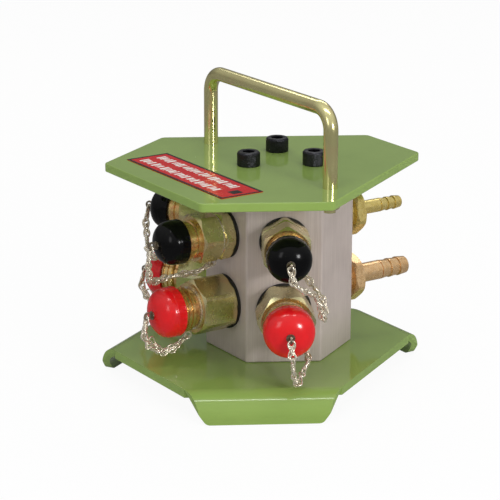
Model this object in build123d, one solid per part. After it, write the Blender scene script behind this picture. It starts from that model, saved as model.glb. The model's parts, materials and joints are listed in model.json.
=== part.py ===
"""Three-way quick coupler: a hexagonal manifold block between two green plates, with three pairs of
quick couplers, two hose barbs and a carrying handle.

Millimetres, +Z up. The front face of the block looks along -Y. While it is built, the block's axis is the
Z axis and the feet stand on Z = 0; at the end everything moves so that the origin is the centre of the
footprint, on the ground.
"""

import math
import os

from build123d import *

# Block and plates
BLOCK_AF = 90.0
BLOCK_HEIGHT = 127.5
BLOCK_EDGE = 0.8
PLATE_THICKNESS = 6.0
PLATE_CORNER_R = 5.0
PLATE_EDGE_R = 0.9
FOOT_DROP = 20.0
FOOT_BEND_R = 16.0
FOOT_CORNER_R = 5.0
UPPER_PORT_HEIGHT = 87.8
LOWER_PORT_HEIGHT = 38.4

# The block's faces in their order round it, and where each looks, in degrees from +X
AROUND = ("front", "right", "hose", "back", "rear", "left")
FACE = {name: 360.0 / len(AROUND) * number - 90.0 for number, name in enumerate(AROUND)}

# Distance of each plate edge from the block's axis
TOP_EDGES = {"front": 110.3, "right": 78.6, "hose": 95.4, "back": 70.1, "rear": 104.9, "left": 107.1}
BASE_EDGES = {"front": 111.0, "right": 78.6, "hose": 101.0, "back": 70.1, "rear": 110.0, "left": 108.6}
FEET = ("front", "hose", "rear")

# Handle, its nuts and the label
ROD_DIAMETER = 10.0
HANDLE_SPAN = 147.0
HANDLE_RISE = 52.6
HANDLE_BEND_R = 14.0
HANDLE_CENTRE = (-9.0, -12.0)
HANDLE_THREAD = 8.0
NUT_AF = 13.0
NUT_HEIGHT = 6.5
WASHER_DIAMETER = 17.0
WASHER_THICKNESS = 1.6
THREAD_STICKOUT = 2.5
LABEL_SIZE = (121.5, 32.7)
LABEL_THICKNESS = 0.4
LABEL_SHIFT = 2.8
LABEL_MARGIN = 17.7

# Screws
SCREW_DIAMETER = 10.0
SCREW_CIRCLE_R = 26.2
SCREW_FACES = ("left", "back", "right")
SCREW_HEAD_DIAMETER = 16.0
SCREW_HEAD_HEIGHT = 10.0
SCREW_SOCKET_AF = 8.0
SCREW_SOCKET_DEPTH = 5.0
SCREW_GRIP = 18.0
FLAT_HEAD_DIAMETER = 19.0

# Clearances
FIT = 0.05
SLIDE = 0.10
HOLE_CLEARANCE = 0.5
SEAT_GAP = 0.10

# Ports in the block
GALLERY_DIAMETER = 12.0
SOCKET_SPIGOT_R = 11.0
SOCKET_SPIGOT_LENGTH = 14.0
PLUG_SPIGOT_R = 9.5
PLUG_SPIGOT_LENGTH = 12.0
PORT_END_GAP = 1.0
SEAL_THICKNESS = 1.5

# Parts that the two kinds of coupler share
GUIDE_R = 8.95
GUIDE_THICKNESS = 3.0
GUIDE_HUB_R = 4.0
GUIDE_WINDOW_COUNT = 3
STEM_R = 2.5
VALVE_TRAVEL = 4.0
VALVE_HEAD_LENGTH = 2.0
VALVE_SPRING_WIRE = 1.2
VALVE_SPRING_TURNS = 4.0
HEX_CORNER_SHARE = 1.115
HEX_CHAMFER = 1.6
NOSE_CHAMFER = 0.6

# Socket, the female coupler at the bottom
SOCKET_HEX_AF = 36.0
SOCKET_SEAL_D = 38.5
SOCKET_HEX_LENGTH = 27.0
SHOULDER_R = 13.4
SHOULDER_LENGTH = 5.6
NOSE_R = 12.2
NOSE_END = 51.8
MOUTH_R = 8.6
MOUTH_DEPTH = 9.4
BALL_R = 2.2
BALL_COUNT = 4
BALL_LIP_R = 1.85
BALL_LIP_AT = 8.7
BALL_ORBIT_R = 9.95
BALL_FROM_FRONT = 5.2
BALL_HOLE_LENGTH = 6.0
BALL_RELIEF_WIDTH = 0.6
BALL_RELIEF_DEPTH = 0.5
MOUTH_SEAL_WIDTH = 1.2
MOUTH_SEAL_R = 10.0
MOUTH_SEAL_FROM_BOTTOM = 0.3
MOUTH_SEAL_SQUEEZE = 0.15
SEAT_R = 6.0
SEAT_LAND = 1.5
CHAMBER_R = 8.2
CHAMBER_END = 20.0
SOCKET_VALVE_R = 7.6
SOCKET_BUTTON_R = 4.5
SOCKET_BUTTON_STICKOUT = 1.5
SLEEVE_R = 15.6
SLEEVE_START = 33.4
SLEEVE_END = 50.6
SLEEVE_TRAVEL = 3.8
SLEEVE_LAND_LENGTH = 4.2
SLEEVE_STOP_R = 12.6
SLEEVE_LAND_PAST_BALL = 1.2
SLEEVE_RELEASE_R = 13.4
SLEEVE_GROOVE_DEPTH = 0.9
SLEEVE_GROOVE_WIDTH = 1.3
SLEEVE_SPRING_WIRE = 0.9
SLEEVE_SPRING_TURNS = 3.0
STOP_RING_WIDTH = 1.0
STOP_RING_DEPTH = 0.8
STOP_RING_SPLIT = (6.0, 2.5)

# Plug, the male coupler at the top
PLUG_HEX_AF = 32.0
PLUG_SEAL_D = 34.5
ADAPTER_LENGTH = 9.0
JOINT_GROOVE = 1.0
JOINT_GROOVE_R = 14.0
PLUG_BODY_LENGTH = 16.0
ADAPTER_SPIGOT_R = 10.5
ADAPTER_SPIGOT_END = 19.0
ADAPTER_BORE_R = 6.5
COLLAR_R = 13.4
COLLAR_NECK_R = 12.4
COLLAR_END = 38.6
NIPPLE_R = 8.5
NIPPLE_END = 47.4
NIPPLE_GROOVE_R = 7.7
NIPPLE_GROOVE_WIDTH = 2.4
NIPPLE_GROOVE_SLOPE = 0.8
PLUG_SEAT_R = 5.0
PLUG_SEAT_LAND = 3.0
PLUG_CHAMBER_R = 6.6
PLUG_VALVE_R = 6.1
PLUG_BUTTON_R = 3.6

# Dust caps and their chains
RED_CAP_R = 17.6
RED_CAP_START = 42.0
RED_CAP_END = 60.0
BLACK_CAP_R = 15.5
BLACK_CAP_START = 37.4
BLACK_CAP_END = 56.0
CAP_END_WALL = 2.0
CAP_GRIP = 0.15
CAP_DOME_R = 6.0
CAP_RIB_COUNT = 12
CAP_RIB_LENGTH = 6.0
CAP_RIB_DEPTH = 0.35
CAP_RIB_WIDTH = 2.4
EYE_R = 3.0
EYE_HOLE_R = 1.8
EYE_THICKNESS = 1.2
EYE_STANDOFF = 3.4
EYE_SHANK_R = 1.5
EYE_WASHER_R = 4.0
EYE_WASHER_THICKNESS = 0.6
COLLAR_RING_WIDTH = 0.9
COLLAR_RING_WALL = 1.4
COLLAR_RING_GAP = 0.25
COLLAR_RING_FROM_HEX = 0.1
COLLAR_RING_IN_GROOVE = 0.05
EAR_RADIUS = 19.4
EAR_OVERLAP = 0.6
LINK_LENGTH = 14.0
LINK_WIDTH = 6.0
LINK_WIRE = 1.2
LINK_PLAY = 0.2
LINK_HANG = 0.7

# Hose barbs
BARB_HEX_AF = 32.0
BARB_HEX_START = 11.5
BARB_HEX_LENGTH = 8.5
BARB_HEX_ROLL = 17.0
BARB_NECK_R = 12.0
BARB_SEAL_D = 28.0
BARB_RIDGES = 3
BARB_VALLEY = 0.75
BARB_GROOVE = 0.6
UPPER_BARB_R = 5.0
UPPER_BARB_BORE_R = 3.4
UPPER_BARB_END = 60.5
UPPER_BARB_FIRST_RIDGE = 41.7
LOWER_BARB_R = 7.0
LOWER_BARB_BORE_R = 4.8
LOWER_BARB_END = 66.8
LOWER_BARB_FIRST_RIDGE = 43.0

# Turn of each coupler's hexagon and of its chain ring's ear, and the way each chain hangs:
# points along the coupler, to the right of it and above it, from the cap's eye to the ear
COUPLERS = {
    "front": {"plug_roll": 30.0, "socket_roll": 0.0},
    "left": {"plug_roll": 0.0, "socket_roll": 30.0},
    "rear": {"plug_roll": 0.0, "socket_roll": 18.0},
}
EAR_ANGLE = {
    ("front", "red"): -55.0,
    ("front", "black"): -60.0,
    ("left", "red"): -90.0,
    ("left", "black"): -90.0,
    ("rear", "red"): -90.0,
    ("rear", "black"): -90.0,
}
CHAIN_ROUTE = {
    ("front", "red"): [(66.0, 0.8, -7.0), (65.5, 1.4, -20.0), (62.0, 3.0, -31.0), (56.0, 7.0, -33.0),
                       (49.0, 9.5, -27.0), (41.0, 14.5, -21.0)],
    ("front", "black"): [(61.0, 0.7, -8.0), (58.5, 4.0, -14.5), (51.0, 11.5, -19.0), (43.5, 19.0, -28.0),
                         (40.5, 22.0, -38.5), (34.5, 24.0, -44.0), (26.5, 24.5, -38.5), (20.0, 21.0, -29.0),
                         (14.5, 15.0, -23.0)],
    ("left", "red"): [(66.5, 0.3, -6.0), (64.5, 0.3, -13.5), (58.5, 0.3, -22.5), (50.0, 0.3, -26.0),
                      (41.0, 0.3, -25.0)],
    ("left", "black"): [(62.5, -0.4, -6.0), (62.5, -1.0, -17.0), (60.5, -4.0, -25.5), (54.0, -14.5, -31.0),
                        (44.5, -21.5, -34.5), (33.0, -19.5, -31.5), (22.0, -7.0, -27.5), (16.5, -0.6, -23.6)],
    ("rear", "red"): [(66.5, -0.3, -6.0), (64.5, -0.3, -13.5), (58.5, -0.3, -22.5), (50.0, -0.3, -26.0),
                      (41.0, -0.3, -25.0)],
    ("rear", "black"): [(62.5, 0.4, -6.0), (62.5, 1.0, -17.0), (60.5, 4.0, -25.5), (54.0, 14.5, -31.0),
                        (44.5, 21.5, -34.5), (33.0, 19.5, -31.5), (22.0, 7.0, -27.5), (16.5, 0.6, -23.6)],
}
ROUTE_STEPS = 400
TWIST_STEPS = 12

# Sizes that follow from the ones above
BASE_TOP = FOOT_DROP
BLOCK_TOP = BASE_TOP + BLOCK_HEIGHT
PLATE_TOP = BLOCK_TOP + PLATE_THICKNESS
BLOCK_FACE = BLOCK_AF / 2
UPPER_PORT = BASE_TOP + UPPER_PORT_HEIGHT
LOWER_PORT = BASE_TOP + LOWER_PORT_HEIGHT
SOCKET_HEX_END = SEAL_THICKNESS + SOCKET_HEX_LENGTH
SHOULDER_END = SOCKET_HEX_END + SHOULDER_LENGTH
MOUTH_BOTTOM = NOSE_END - MOUTH_DEPTH
BALL_AT = NOSE_END - BALL_FROM_FRONT
MOUTH_SEAL_AT = MOUTH_BOTTOM + MOUTH_SEAL_FROM_BOTTOM
BALL_RELIEF_AT = BALL_AT + BALL_R + 2 * FIT
MOUTH_LAND = (BALL_RELIEF_AT + BALL_RELIEF_WIDTH, NOSE_END - NOSE_CHAMFER)
STOP_RING_START = BALL_AT + BALL_R + 0.3
SLEEVE_LAND_END = STOP_RING_START - SEAT_GAP
SLEEVE_LAND_START = SLEEVE_LAND_END - SLEEVE_LAND_LENGTH
ADAPTER_END = SEAL_THICKNESS + ADAPTER_LENGTH
PLUG_BODY_START = ADAPTER_END + JOINT_GROOVE
PLUG_HEX_END = PLUG_BODY_START + PLUG_BODY_LENGTH
RED_RING_AT = SOCKET_HEX_END + COLLAR_RING_FROM_HEX
BLACK_RING_AT = SEAL_THICKNESS + ADAPTER_LENGTH + COLLAR_RING_IN_GROOVE
NIPPLE_GROOVE_FROM_TIP = MOUTH_DEPTH - BALL_FROM_FRONT


def turned(*profile):
    """A turned solid on the local Z axis, from its profile of (radius, height) points."""
    return revolve(Plane.XZ * make_face(Polyline(*profile, close=True)), Axis.Z)


def tube(outer, inner, start, end):
    """A plain ring between two heights."""
    return turned((inner, start), (outer, start), (outer, end), (inner, end))


def rod(radius, start, end):
    """A plain round bar between two heights."""
    return turned((0, start), (radius, start), (radius, end), (0, end))


def hexagon(across_flats, start, end, roll=0.0, back_chamfer=True):
    """A hexagonal length of bar whose corners are turned down at its ends, as on a coupler body."""
    corner = across_flats / 2 * HEX_CORNER_SHARE
    flat = across_flats / 2 - HEX_CHAMFER / 4
    back = flat if back_chamfer else corner
    bar = extrude(RegularPolygon(across_flats / 2, 6, major_radius=False, rotation=roll), end - start)
    blank = turned((0, start), (back, start), (corner, start + HEX_CHAMFER), (corner, end - HEX_CHAMFER),
                   (flat, end), (0, end))
    return (Pos(0, 0, start) * bar) & blank


def at_face(name, height):
    """The place of a port: local Z points out of the block's face, local X to the right of it."""
    angle = math.radians(FACE[name])
    out = Vector(math.cos(angle), math.sin(angle), 0)
    right = Vector(-math.sin(angle), math.cos(angle), 0)
    return Location(Plane(origin=out * BLOCK_FACE + Vector(0, 0, height), x_dir=right, z_dir=out))


def corner_between(first, second, edges):
    """The point where two plate edges meet, each given by its direction and distance from the axis."""
    a, b = math.radians(FACE[first]), math.radians(FACE[second])
    det = math.cos(a) * math.sin(b) - math.sin(a) * math.cos(b)
    x = (edges[first] * math.sin(b) - edges[second] * math.sin(a)) / det
    y = (edges[second] * math.cos(a) - edges[first] * math.cos(b)) / det
    return x, y


def plate_outline(edges):
    """The six corners of a plate, in order around it."""
    return [corner_between(a, b, edges) for a, b in zip(AROUND, AROUND[1:] + AROUND[:1])]


def screw_places():
    """Where the three screws of each plate stand."""
    for name in SCREW_FACES:
        angle = math.radians(FACE[name])
        yield SCREW_CIRCLE_R * math.cos(angle), SCREW_CIRCLE_R * math.sin(angle)


def handle_direction():
    """The unit vector from the handle's rear leg to its front leg, along the plate's left edge."""
    angle = math.radians(FACE["left"])
    return Vector(-math.sin(angle), math.cos(angle), 0)


def handle_feet():
    """The two points where the handle's legs meet the top plate."""
    middle = Vector(*HANDLE_CENTRE, PLATE_TOP)
    half = handle_direction() * (HANDLE_SPAN / 2)
    return middle - half, middle + half


def port_bores():
    """Every port in the block: face, height, bore radius and bore depth."""
    for face in COUPLERS:
        yield face, UPPER_PORT, PLUG_SPIGOT_R, PLUG_SPIGOT_LENGTH
        yield face, LOWER_PORT, SOCKET_SPIGOT_R, SOCKET_SPIGOT_LENGTH
    yield "hose", UPPER_PORT, PLUG_SPIGOT_R, PLUG_SPIGOT_LENGTH
    yield "hose", LOWER_PORT, SOCKET_SPIGOT_R, SOCKET_SPIGOT_LENGTH


def make_block():
    """The hexagonal manifold: ports on four faces, a star of galleries at each port height, screw holes."""
    body = extrude(RegularPolygon(BLOCK_FACE, 6, major_radius=False), BLOCK_HEIGHT)
    body = chamfer(body.edges(), BLOCK_EDGE)
    body = Pos(0, 0, BASE_TOP) * body
    for face, height, radius, depth in port_bores():
        bore = rod(radius + FIT, -depth - PORT_END_GAP, 1)
        gallery = rod(GALLERY_DIAMETER / 2, -BLOCK_FACE, 1)
        body -= at_face(face, height) * (bore + gallery)
    for x, y in screw_places():
        drilled = rod(SCREW_DIAMETER / 2 + FIT, -SCREW_GRIP - 2, 1)
        body -= Pos(x, y, BLOCK_TOP) * drilled
        body -= Pos(x, y, BASE_TOP) * Rot(180, 0, 0) * drilled
    return body


def make_top_plate():
    """The flat top plate, rounded at its corners and edges."""
    outline = Polygon(*plate_outline(TOP_EDGES), align=None)
    outline = fillet(outline.vertices(), PLATE_CORNER_R)
    plate = extrude(outline, PLATE_THICKNESS)
    plate = fillet(plate.edges().filter_by(Plane.XY), PLATE_EDGE_R)
    plate = Pos(0, 0, BLOCK_TOP) * plate
    for x, y in screw_places():
        plate -= Pos(x, y, BLOCK_TOP - 1) * Cylinder(
            SCREW_DIAMETER / 2 + HOLE_CLEARANCE, PLATE_THICKNESS + 2, align=(Align.CENTER,) * 2 + (Align.MIN,))
    for foot in handle_feet():
        plate -= Pos(foot.X, foot.Y, BLOCK_TOP - 1) * Cylinder(
            HANDLE_THREAD / 2 + FIT, PLATE_THICKNESS + 2, align=(Align.CENTER,) * 2 + (Align.MIN,))
    return plate


def bent_foot(name):
    """One foot of the base plate: the quarter bend and the short flap, cut to the plate's taper."""
    inner_r = FOOT_BEND_R - PLATE_THICKNESS
    bend_start = BASE_EDGES[name] - FOOT_BEND_R
    half_width = 200.0
    with BuildSketch(Plane.YZ) as section:
        with BuildLine():
            outer = Line((bend_start, FOOT_DROP), (bend_start, FOOT_DROP - PLATE_THICKNESS))
            under = RadiusArc(outer @ 1, (bend_start + inner_r, FOOT_DROP - FOOT_BEND_R), inner_r)
            down = Line(under @ 1, (bend_start + inner_r, 0))
            sole = Line(down @ 1, (bend_start + FOOT_BEND_R, 0))
            up = Line(sole @ 1, (bend_start + FOOT_BEND_R, FOOT_DROP - FOOT_BEND_R))
            RadiusArc(up @ 1, outer @ 0, -FOOT_BEND_R)
        make_face()
    strip = extrude(section.sketch, half_width, both=True)
    angle = math.radians(FACE[name])
    turn = FACE[name] - 90
    order = AROUND.index(name)
    ends = []
    for neighbour in (AROUND[order - 1], AROUND[(order + 1) % 6]):
        edges = dict(BASE_EDGES)
        edges[name] = bend_start
        x, y = corner_between(name, neighbour, edges)
        ends.append(x * math.sin(angle) - y * math.cos(angle))
    left, right = min(ends), max(ends)
    neutral_r = FOOT_BEND_R - PLATE_THICKNESS / 2
    unfolded = neutral_r * math.pi / 2 + FOOT_DROP - FOOT_BEND_R
    taper = unfolded * math.tan(math.radians(30))
    face = Polygon((left, FOOT_DROP), (right, FOOT_DROP), (right - taper, 0), (left + taper, 0), align=None)
    soles = face.vertices().sort_by(Axis.Y)[:2]
    wedge = extrude(Plane.XZ * fillet(soles, FOOT_CORNER_R), 300, both=True)
    return Rot(0, 0, turn) * (strip & wedge)


def make_base_plate():
    """The base plate: a flat truncated triangle whose three short sides are bent down as feet."""
    flat_edges = dict(BASE_EDGES)
    for name in FEET:
        flat_edges[name] = BASE_EDGES[name] - FOOT_BEND_R
    flat = extrude(Polygon(*plate_outline(flat_edges), align=None), PLATE_THICKNESS)
    plate = Pos(0, 0, BASE_TOP - PLATE_THICKNESS) * flat
    long_sides = dict(BASE_EDGES)
    for name in FEET:
        long_sides[name] = BASE_EDGES[name] + 1
    limit = extrude(Polygon(*plate_outline(long_sides), align=None), FOOT_DROP)
    for name in FEET:
        plate += bent_foot(name) & limit
    for x, y in screw_places():
        plate -= Pos(x, y, BASE_TOP - PLATE_THICKNESS) * turned(
            (0, -1), (FLAT_HEAD_DIAMETER / 2 + FIT, -1), (FLAT_HEAD_DIAMETER / 2 + FIT, FIT),
            (SCREW_DIAMETER / 2 + HOLE_CLEARANCE, (FLAT_HEAD_DIAMETER - SCREW_DIAMETER) / 2 + FIT - HOLE_CLEARANCE),
            (SCREW_DIAMETER / 2 + HOLE_CLEARANCE, PLATE_THICKNESS + 1), (0, PLATE_THICKNESS + 1))
    return plate


def make_top_screws():
    """Three socket head cap screws through the top plate into the block."""
    head = turned((0, 0), (SCREW_HEAD_DIAMETER / 2, 0), (SCREW_HEAD_DIAMETER / 2, SCREW_HEAD_HEIGHT - 1),
                  (SCREW_HEAD_DIAMETER / 2 - 1, SCREW_HEAD_HEIGHT), (0, SCREW_HEAD_HEIGHT))
    socket = extrude(RegularPolygon(SCREW_SOCKET_AF / 2, 6, major_radius=False), SCREW_SOCKET_DEPTH + 1)
    head -= Pos(0, 0, SCREW_HEAD_HEIGHT - SCREW_SOCKET_DEPTH) * socket
    screw = head + rod(SCREW_DIAMETER / 2, -PLATE_THICKNESS - SCREW_GRIP, 0)
    return [Pos(x, y, PLATE_TOP) * screw for x, y in screw_places()]


def make_base_screws():
    """Three countersunk screws through the base plate into the block, flush with its underside."""
    cone = (FLAT_HEAD_DIAMETER - SCREW_DIAMETER) / 2
    screw = turned((0, 0), (FLAT_HEAD_DIAMETER / 2, 0), (SCREW_DIAMETER / 2, cone),
                   (SCREW_DIAMETER / 2, PLATE_THICKNESS + SCREW_GRIP), (0, PLATE_THICKNESS + SCREW_GRIP))
    socket = extrude(RegularPolygon(SCREW_SOCKET_AF / 2 - 1, 6, major_radius=False), cone - 1)
    screw -= socket
    return [Pos(x, y, BASE_TOP - PLATE_THICKNESS) * screw for x, y in screw_places()]


def make_handle():
    """The carrying handle: one bent rod whose turned-down ends pass through the top plate."""
    rear, front = handle_feet()
    rise = Vector(0, 0, HANDLE_RISE)
    path = FilletPolyline(rear, rear + rise, front + rise, front, radius=HANDLE_BEND_R)
    bar = sweep(Plane(origin=rear, z_dir=(0, 0, 1)) * Circle(ROD_DIAMETER / 2), path=path)
    below = PLATE_THICKNESS + WASHER_THICKNESS + NUT_HEIGHT + THREAD_STICKOUT
    for foot in (rear, front):
        bar += Pos(foot.X, foot.Y, foot.Z) * rod(HANDLE_THREAD / 2, -below, 0)
    return bar


def make_handle_nuts():
    """The nut and washer that hold each leg of the handle under the top plate."""
    washer = tube(WASHER_DIAMETER / 2, HANDLE_THREAD / 2 + FIT, -WASHER_THICKNESS, 0)
    nut = hexagon(NUT_AF, -WASHER_THICKNESS - NUT_HEIGHT, -WASHER_THICKNESS)
    nut -= rod(HANDLE_THREAD / 2 + FIT, -WASHER_THICKNESS - NUT_HEIGHT - 1, 1)
    places = [Pos(foot.X, foot.Y, BLOCK_TOP) for foot in handle_feet()]
    return [p * nut for p in places], [p * washer for p in places]


def make_label():
    """The label plate, stuck on the top plate along its left edge."""
    angle = math.radians(FACE["left"])
    out = Vector(math.cos(angle), math.sin(angle), 0)
    middle = out * (TOP_EDGES["left"] - LABEL_MARGIN - LABEL_SIZE[1] / 2) + handle_direction() * LABEL_SHIFT
    place = Plane(origin=middle + Vector(0, 0, PLATE_TOP), x_dir=handle_direction(), z_dir=(0, 0, 1))
    return extrude(place * Rectangle(*LABEL_SIZE), LABEL_THICKNESS)


def spring(mean_r, wire, start, end, turns):
    """A coil spring of square wire between two heights."""
    height = end - start - wire - 2 * SEAT_GAP
    coil = Pos(0, 0, start + SEAT_GAP + wire / 2) * Helix(height / turns, height, mean_r)
    section = Plane(origin=coil @ 0, x_dir=(1, 0, 0), z_dir=coil % 0) * Rectangle(wire, wire)
    return sweep(section, path=coil, is_frenet=True)


def make_valve_guide():
    """The spider that guides a valve's stem: a hub and a rim joined by arms between open windows."""
    guide = tube(GUIDE_R, STEM_R + FIT, 0, GUIDE_THICKNESS)
    window = Pos(0, 0, -1) * (tube(GUIDE_R - 1.6, GUIDE_HUB_R, 0, GUIDE_THICKNESS + 2))
    arm = Pos(GUIDE_R / 2, 0, GUIDE_THICKNESS / 2) * Box(GUIDE_R, 2.4, GUIDE_THICKNESS + 4)
    for step in range(GUIDE_WINDOW_COUNT):
        window -= Rot(0, 0, 360 / GUIDE_WINDOW_COUNT * step) * arm
    return guide - window


def make_valve(head_r, button_r, seat_r, seat_at, button_end):
    """A poppet and where its head's back is: stem, head with a 45 degree cone, button the mate pushes."""
    cone_sum = seat_r + seat_at - SEAT_GAP * math.sqrt(2)
    back = cone_sum - head_r - VALVE_HEAD_LENGTH
    stem_end = CHAMBER_END - GUIDE_THICKNESS - VALVE_TRAVEL - 1.0
    poppet = turned((0, stem_end), (STEM_R, stem_end), (STEM_R, back), (head_r, back),
                    (head_r, cone_sum - head_r), (button_r, cone_sum - button_r), (button_r, button_end),
                    (0, button_end))
    return poppet, back


def make_seal(diameter, bore_r):
    """The flat seal under a fitting, between its hexagon and the block's face."""
    return tube(diameter / 2, bore_r + FIT, 0, SEAL_THICKNESS)


def make_socket_body(roll):
    """The socket's body: spigot, hexagon, nose with ball holes, mouth, valve seat and valve chamber. A relief
    groove between the balls and the mouth's front land keeps the burr that the balls raise off the mate."""
    body = hexagon(SOCKET_HEX_AF, SEAL_THICKNESS, SOCKET_HEX_END, roll)
    body += rod(SOCKET_SPIGOT_R, -SOCKET_SPIGOT_LENGTH, SEAL_THICKNESS)
    body += rod(SHOULDER_R, SOCKET_HEX_END, SHOULDER_END)
    body += turned((0, SHOULDER_END), (NOSE_R, SHOULDER_END), (NOSE_R, NOSE_END - NOSE_CHAMFER),
                   (NOSE_R - NOSE_CHAMFER, NOSE_END), (0, NOSE_END))
    cone = CHAMBER_R - SEAT_R
    seat_at = MOUTH_BOTTOM - SEAT_LAND
    inside = turned(
        (0, -SOCKET_SPIGOT_LENGTH - 1), (GUIDE_R + FIT, -SOCKET_SPIGOT_LENGTH - 1), (GUIDE_R + FIT, CHAMBER_END),
        (CHAMBER_R, CHAMBER_END), (CHAMBER_R, seat_at - cone), (SEAT_R, seat_at), (SEAT_R, MOUTH_BOTTOM),
        (MOUTH_R, MOUTH_BOTTOM), (MOUTH_R, NOSE_END - NOSE_CHAMFER), (MOUTH_R + NOSE_CHAMFER, NOSE_END),
        (MOUTH_R + NOSE_CHAMFER, NOSE_END + 1), (0, NOSE_END + 1))
    body -= inside
    body -= tube(MOUTH_SEAL_R, 1, MOUTH_SEAL_AT, MOUTH_SEAL_AT + MOUTH_SEAL_WIDTH)
    body -= tube(MOUTH_R + BALL_RELIEF_DEPTH, 1, BALL_RELIEF_AT, MOUTH_LAND[0])
    body -= tube(NOSE_R + 1, NOSE_R - STOP_RING_DEPTH, STOP_RING_START, STOP_RING_START + STOP_RING_WIDTH + FIT)
    for step in range(BALL_COUNT):
        hole = Cylinder(BALL_R + FIT, BALL_HOLE_LENGTH, align=(Align.CENTER,) * 2 + (Align.MIN,))
        lip = Cylinder(BALL_LIP_R, BALL_HOLE_LENGTH, align=(Align.CENTER,) * 2 + (Align.MIN,))
        radial = Rot(0, 0, 360 / BALL_COUNT * step + 45) * Pos(0, 0, BALL_AT) * Rot(0, 90, 0)
        body -= radial * Pos(0, 0, BALL_LIP_AT) * hole
        body -= radial * Pos(0, 0, MOUTH_R - 2) * lip
    return body


def make_lock_balls():
    """The steel balls of one socket, held in by the sleeve's land."""
    return [Rot(0, 0, 360 / BALL_COUNT * step + 45) * Pos(BALL_ORBIT_R, 0, BALL_AT) * Sphere(BALL_R)
            for step in range(BALL_COUNT)]


def make_sleeve():
    """The sliding sleeve: skirt over the spring, land over the balls, release recess, grip grooves."""
    skirt_r = SHOULDER_R + SLIDE
    outline = [(skirt_r, SLEEVE_START), (SLEEVE_R - 0.8, SLEEVE_START), (SLEEVE_R, SLEEVE_START + 0.8)]
    for number in range(2):
        at = SLEEVE_START + 2.6 + 3.4 * number
        low = SLEEVE_R - SLEEVE_GROOVE_DEPTH
        outline += [(SLEEVE_R, at), (low, at + 0.3), (low, at + SLEEVE_GROOVE_WIDTH - 0.3),
                    (SLEEVE_R, at + SLEEVE_GROOVE_WIDTH)]
    outline += [(SLEEVE_R, SLEEVE_END - 0.8), (SLEEVE_R - 0.8, SLEEVE_END), (SLEEVE_RELEASE_R, SLEEVE_END),
                (SLEEVE_RELEASE_R, SLEEVE_LAND_END), (SLEEVE_STOP_R, SLEEVE_LAND_END),
                (SLEEVE_STOP_R, BALL_AT + SLEEVE_LAND_PAST_BALL + SLEEVE_STOP_R - NOSE_R),
                (NOSE_R + FIT, BALL_AT + SLEEVE_LAND_PAST_BALL), (NOSE_R + FIT, SLEEVE_LAND_START),
                (skirt_r, SLEEVE_LAND_START)]
    return turned(*outline)


def make_stop_ring():
    """The snap ring that stops the sleeve at the front of the nose."""
    ring = tube(NOSE_R + 0.9, NOSE_R - STOP_RING_DEPTH + FIT, STOP_RING_START + FIT / 2,
                STOP_RING_START + STOP_RING_WIDTH + FIT / 2)
    return ring - Pos(NOSE_R, 0, STOP_RING_START) * Box(*STOP_RING_SPLIT, STOP_RING_SPLIT[0])


def make_plug_adapter(roll):
    """The rear half of the plug: spigot in the block, short hexagon, spigot that carries the body."""
    adapter = hexagon(PLUG_HEX_AF, SEAL_THICKNESS, ADAPTER_END, roll, back_chamfer=True)
    adapter += rod(PLUG_SPIGOT_R, -PLUG_SPIGOT_LENGTH, SEAL_THICKNESS)
    adapter += rod(JOINT_GROOVE_R, ADAPTER_END - 1, PLUG_BODY_START)
    adapter += rod(ADAPTER_SPIGOT_R, PLUG_BODY_START - 1, CHAMBER_END - GUIDE_THICKNESS - FIT)
    return adapter - rod(ADAPTER_BORE_R, -PLUG_SPIGOT_LENGTH - 1, CHAMBER_END)


def make_plug_body(roll):
    """The front half of the plug: hexagon, ringed collar, nipple with its locking groove, valve seat."""
    groove_at = NIPPLE_END - NIPPLE_GROOVE_FROM_TIP
    half = NIPPLE_GROOVE_WIDTH / 2
    seat_at = NIPPLE_END - PLUG_SEAT_LAND
    cone = PLUG_CHAMBER_R - PLUG_SEAT_R
    body = hexagon(PLUG_HEX_AF, PLUG_BODY_START, PLUG_HEX_END, roll)
    body += turned(
        (0, PLUG_HEX_END - 1), (COLLAR_R, PLUG_HEX_END - 1), (COLLAR_R, PLUG_HEX_END + 2.6),
        (COLLAR_NECK_R, PLUG_HEX_END + 3.2), (COLLAR_NECK_R, PLUG_HEX_END + 4.6), (COLLAR_R, PLUG_HEX_END + 5.2),
        (COLLAR_R, COLLAR_END - 0.5), (COLLAR_R - 0.5, COLLAR_END), (NIPPLE_R, COLLAR_END),
        (NIPPLE_R, groove_at - half - NIPPLE_GROOVE_SLOPE), (NIPPLE_GROOVE_R, groove_at - half),
        (NIPPLE_GROOVE_R, groove_at + half),
        (NIPPLE_R, groove_at + half + NIPPLE_GROOVE_SLOPE), (NIPPLE_R, NIPPLE_END - NOSE_CHAMFER),
        (NIPPLE_R - NOSE_CHAMFER, NIPPLE_END), (0, NIPPLE_END))
    inside = turned(
        (0, PLUG_BODY_START - 1), (ADAPTER_SPIGOT_R + FIT, PLUG_BODY_START - 1),
        (ADAPTER_SPIGOT_R + FIT, ADAPTER_SPIGOT_END - 2), (GUIDE_R + FIT, ADAPTER_SPIGOT_END - 2),
        (GUIDE_R + FIT, CHAMBER_END), (PLUG_CHAMBER_R, CHAMBER_END), (PLUG_CHAMBER_R, seat_at - cone),
        (PLUG_SEAT_R, seat_at), (PLUG_SEAT_R, NIPPLE_END + 1), (0, NIPPLE_END + 1))
    return body - inside


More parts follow.
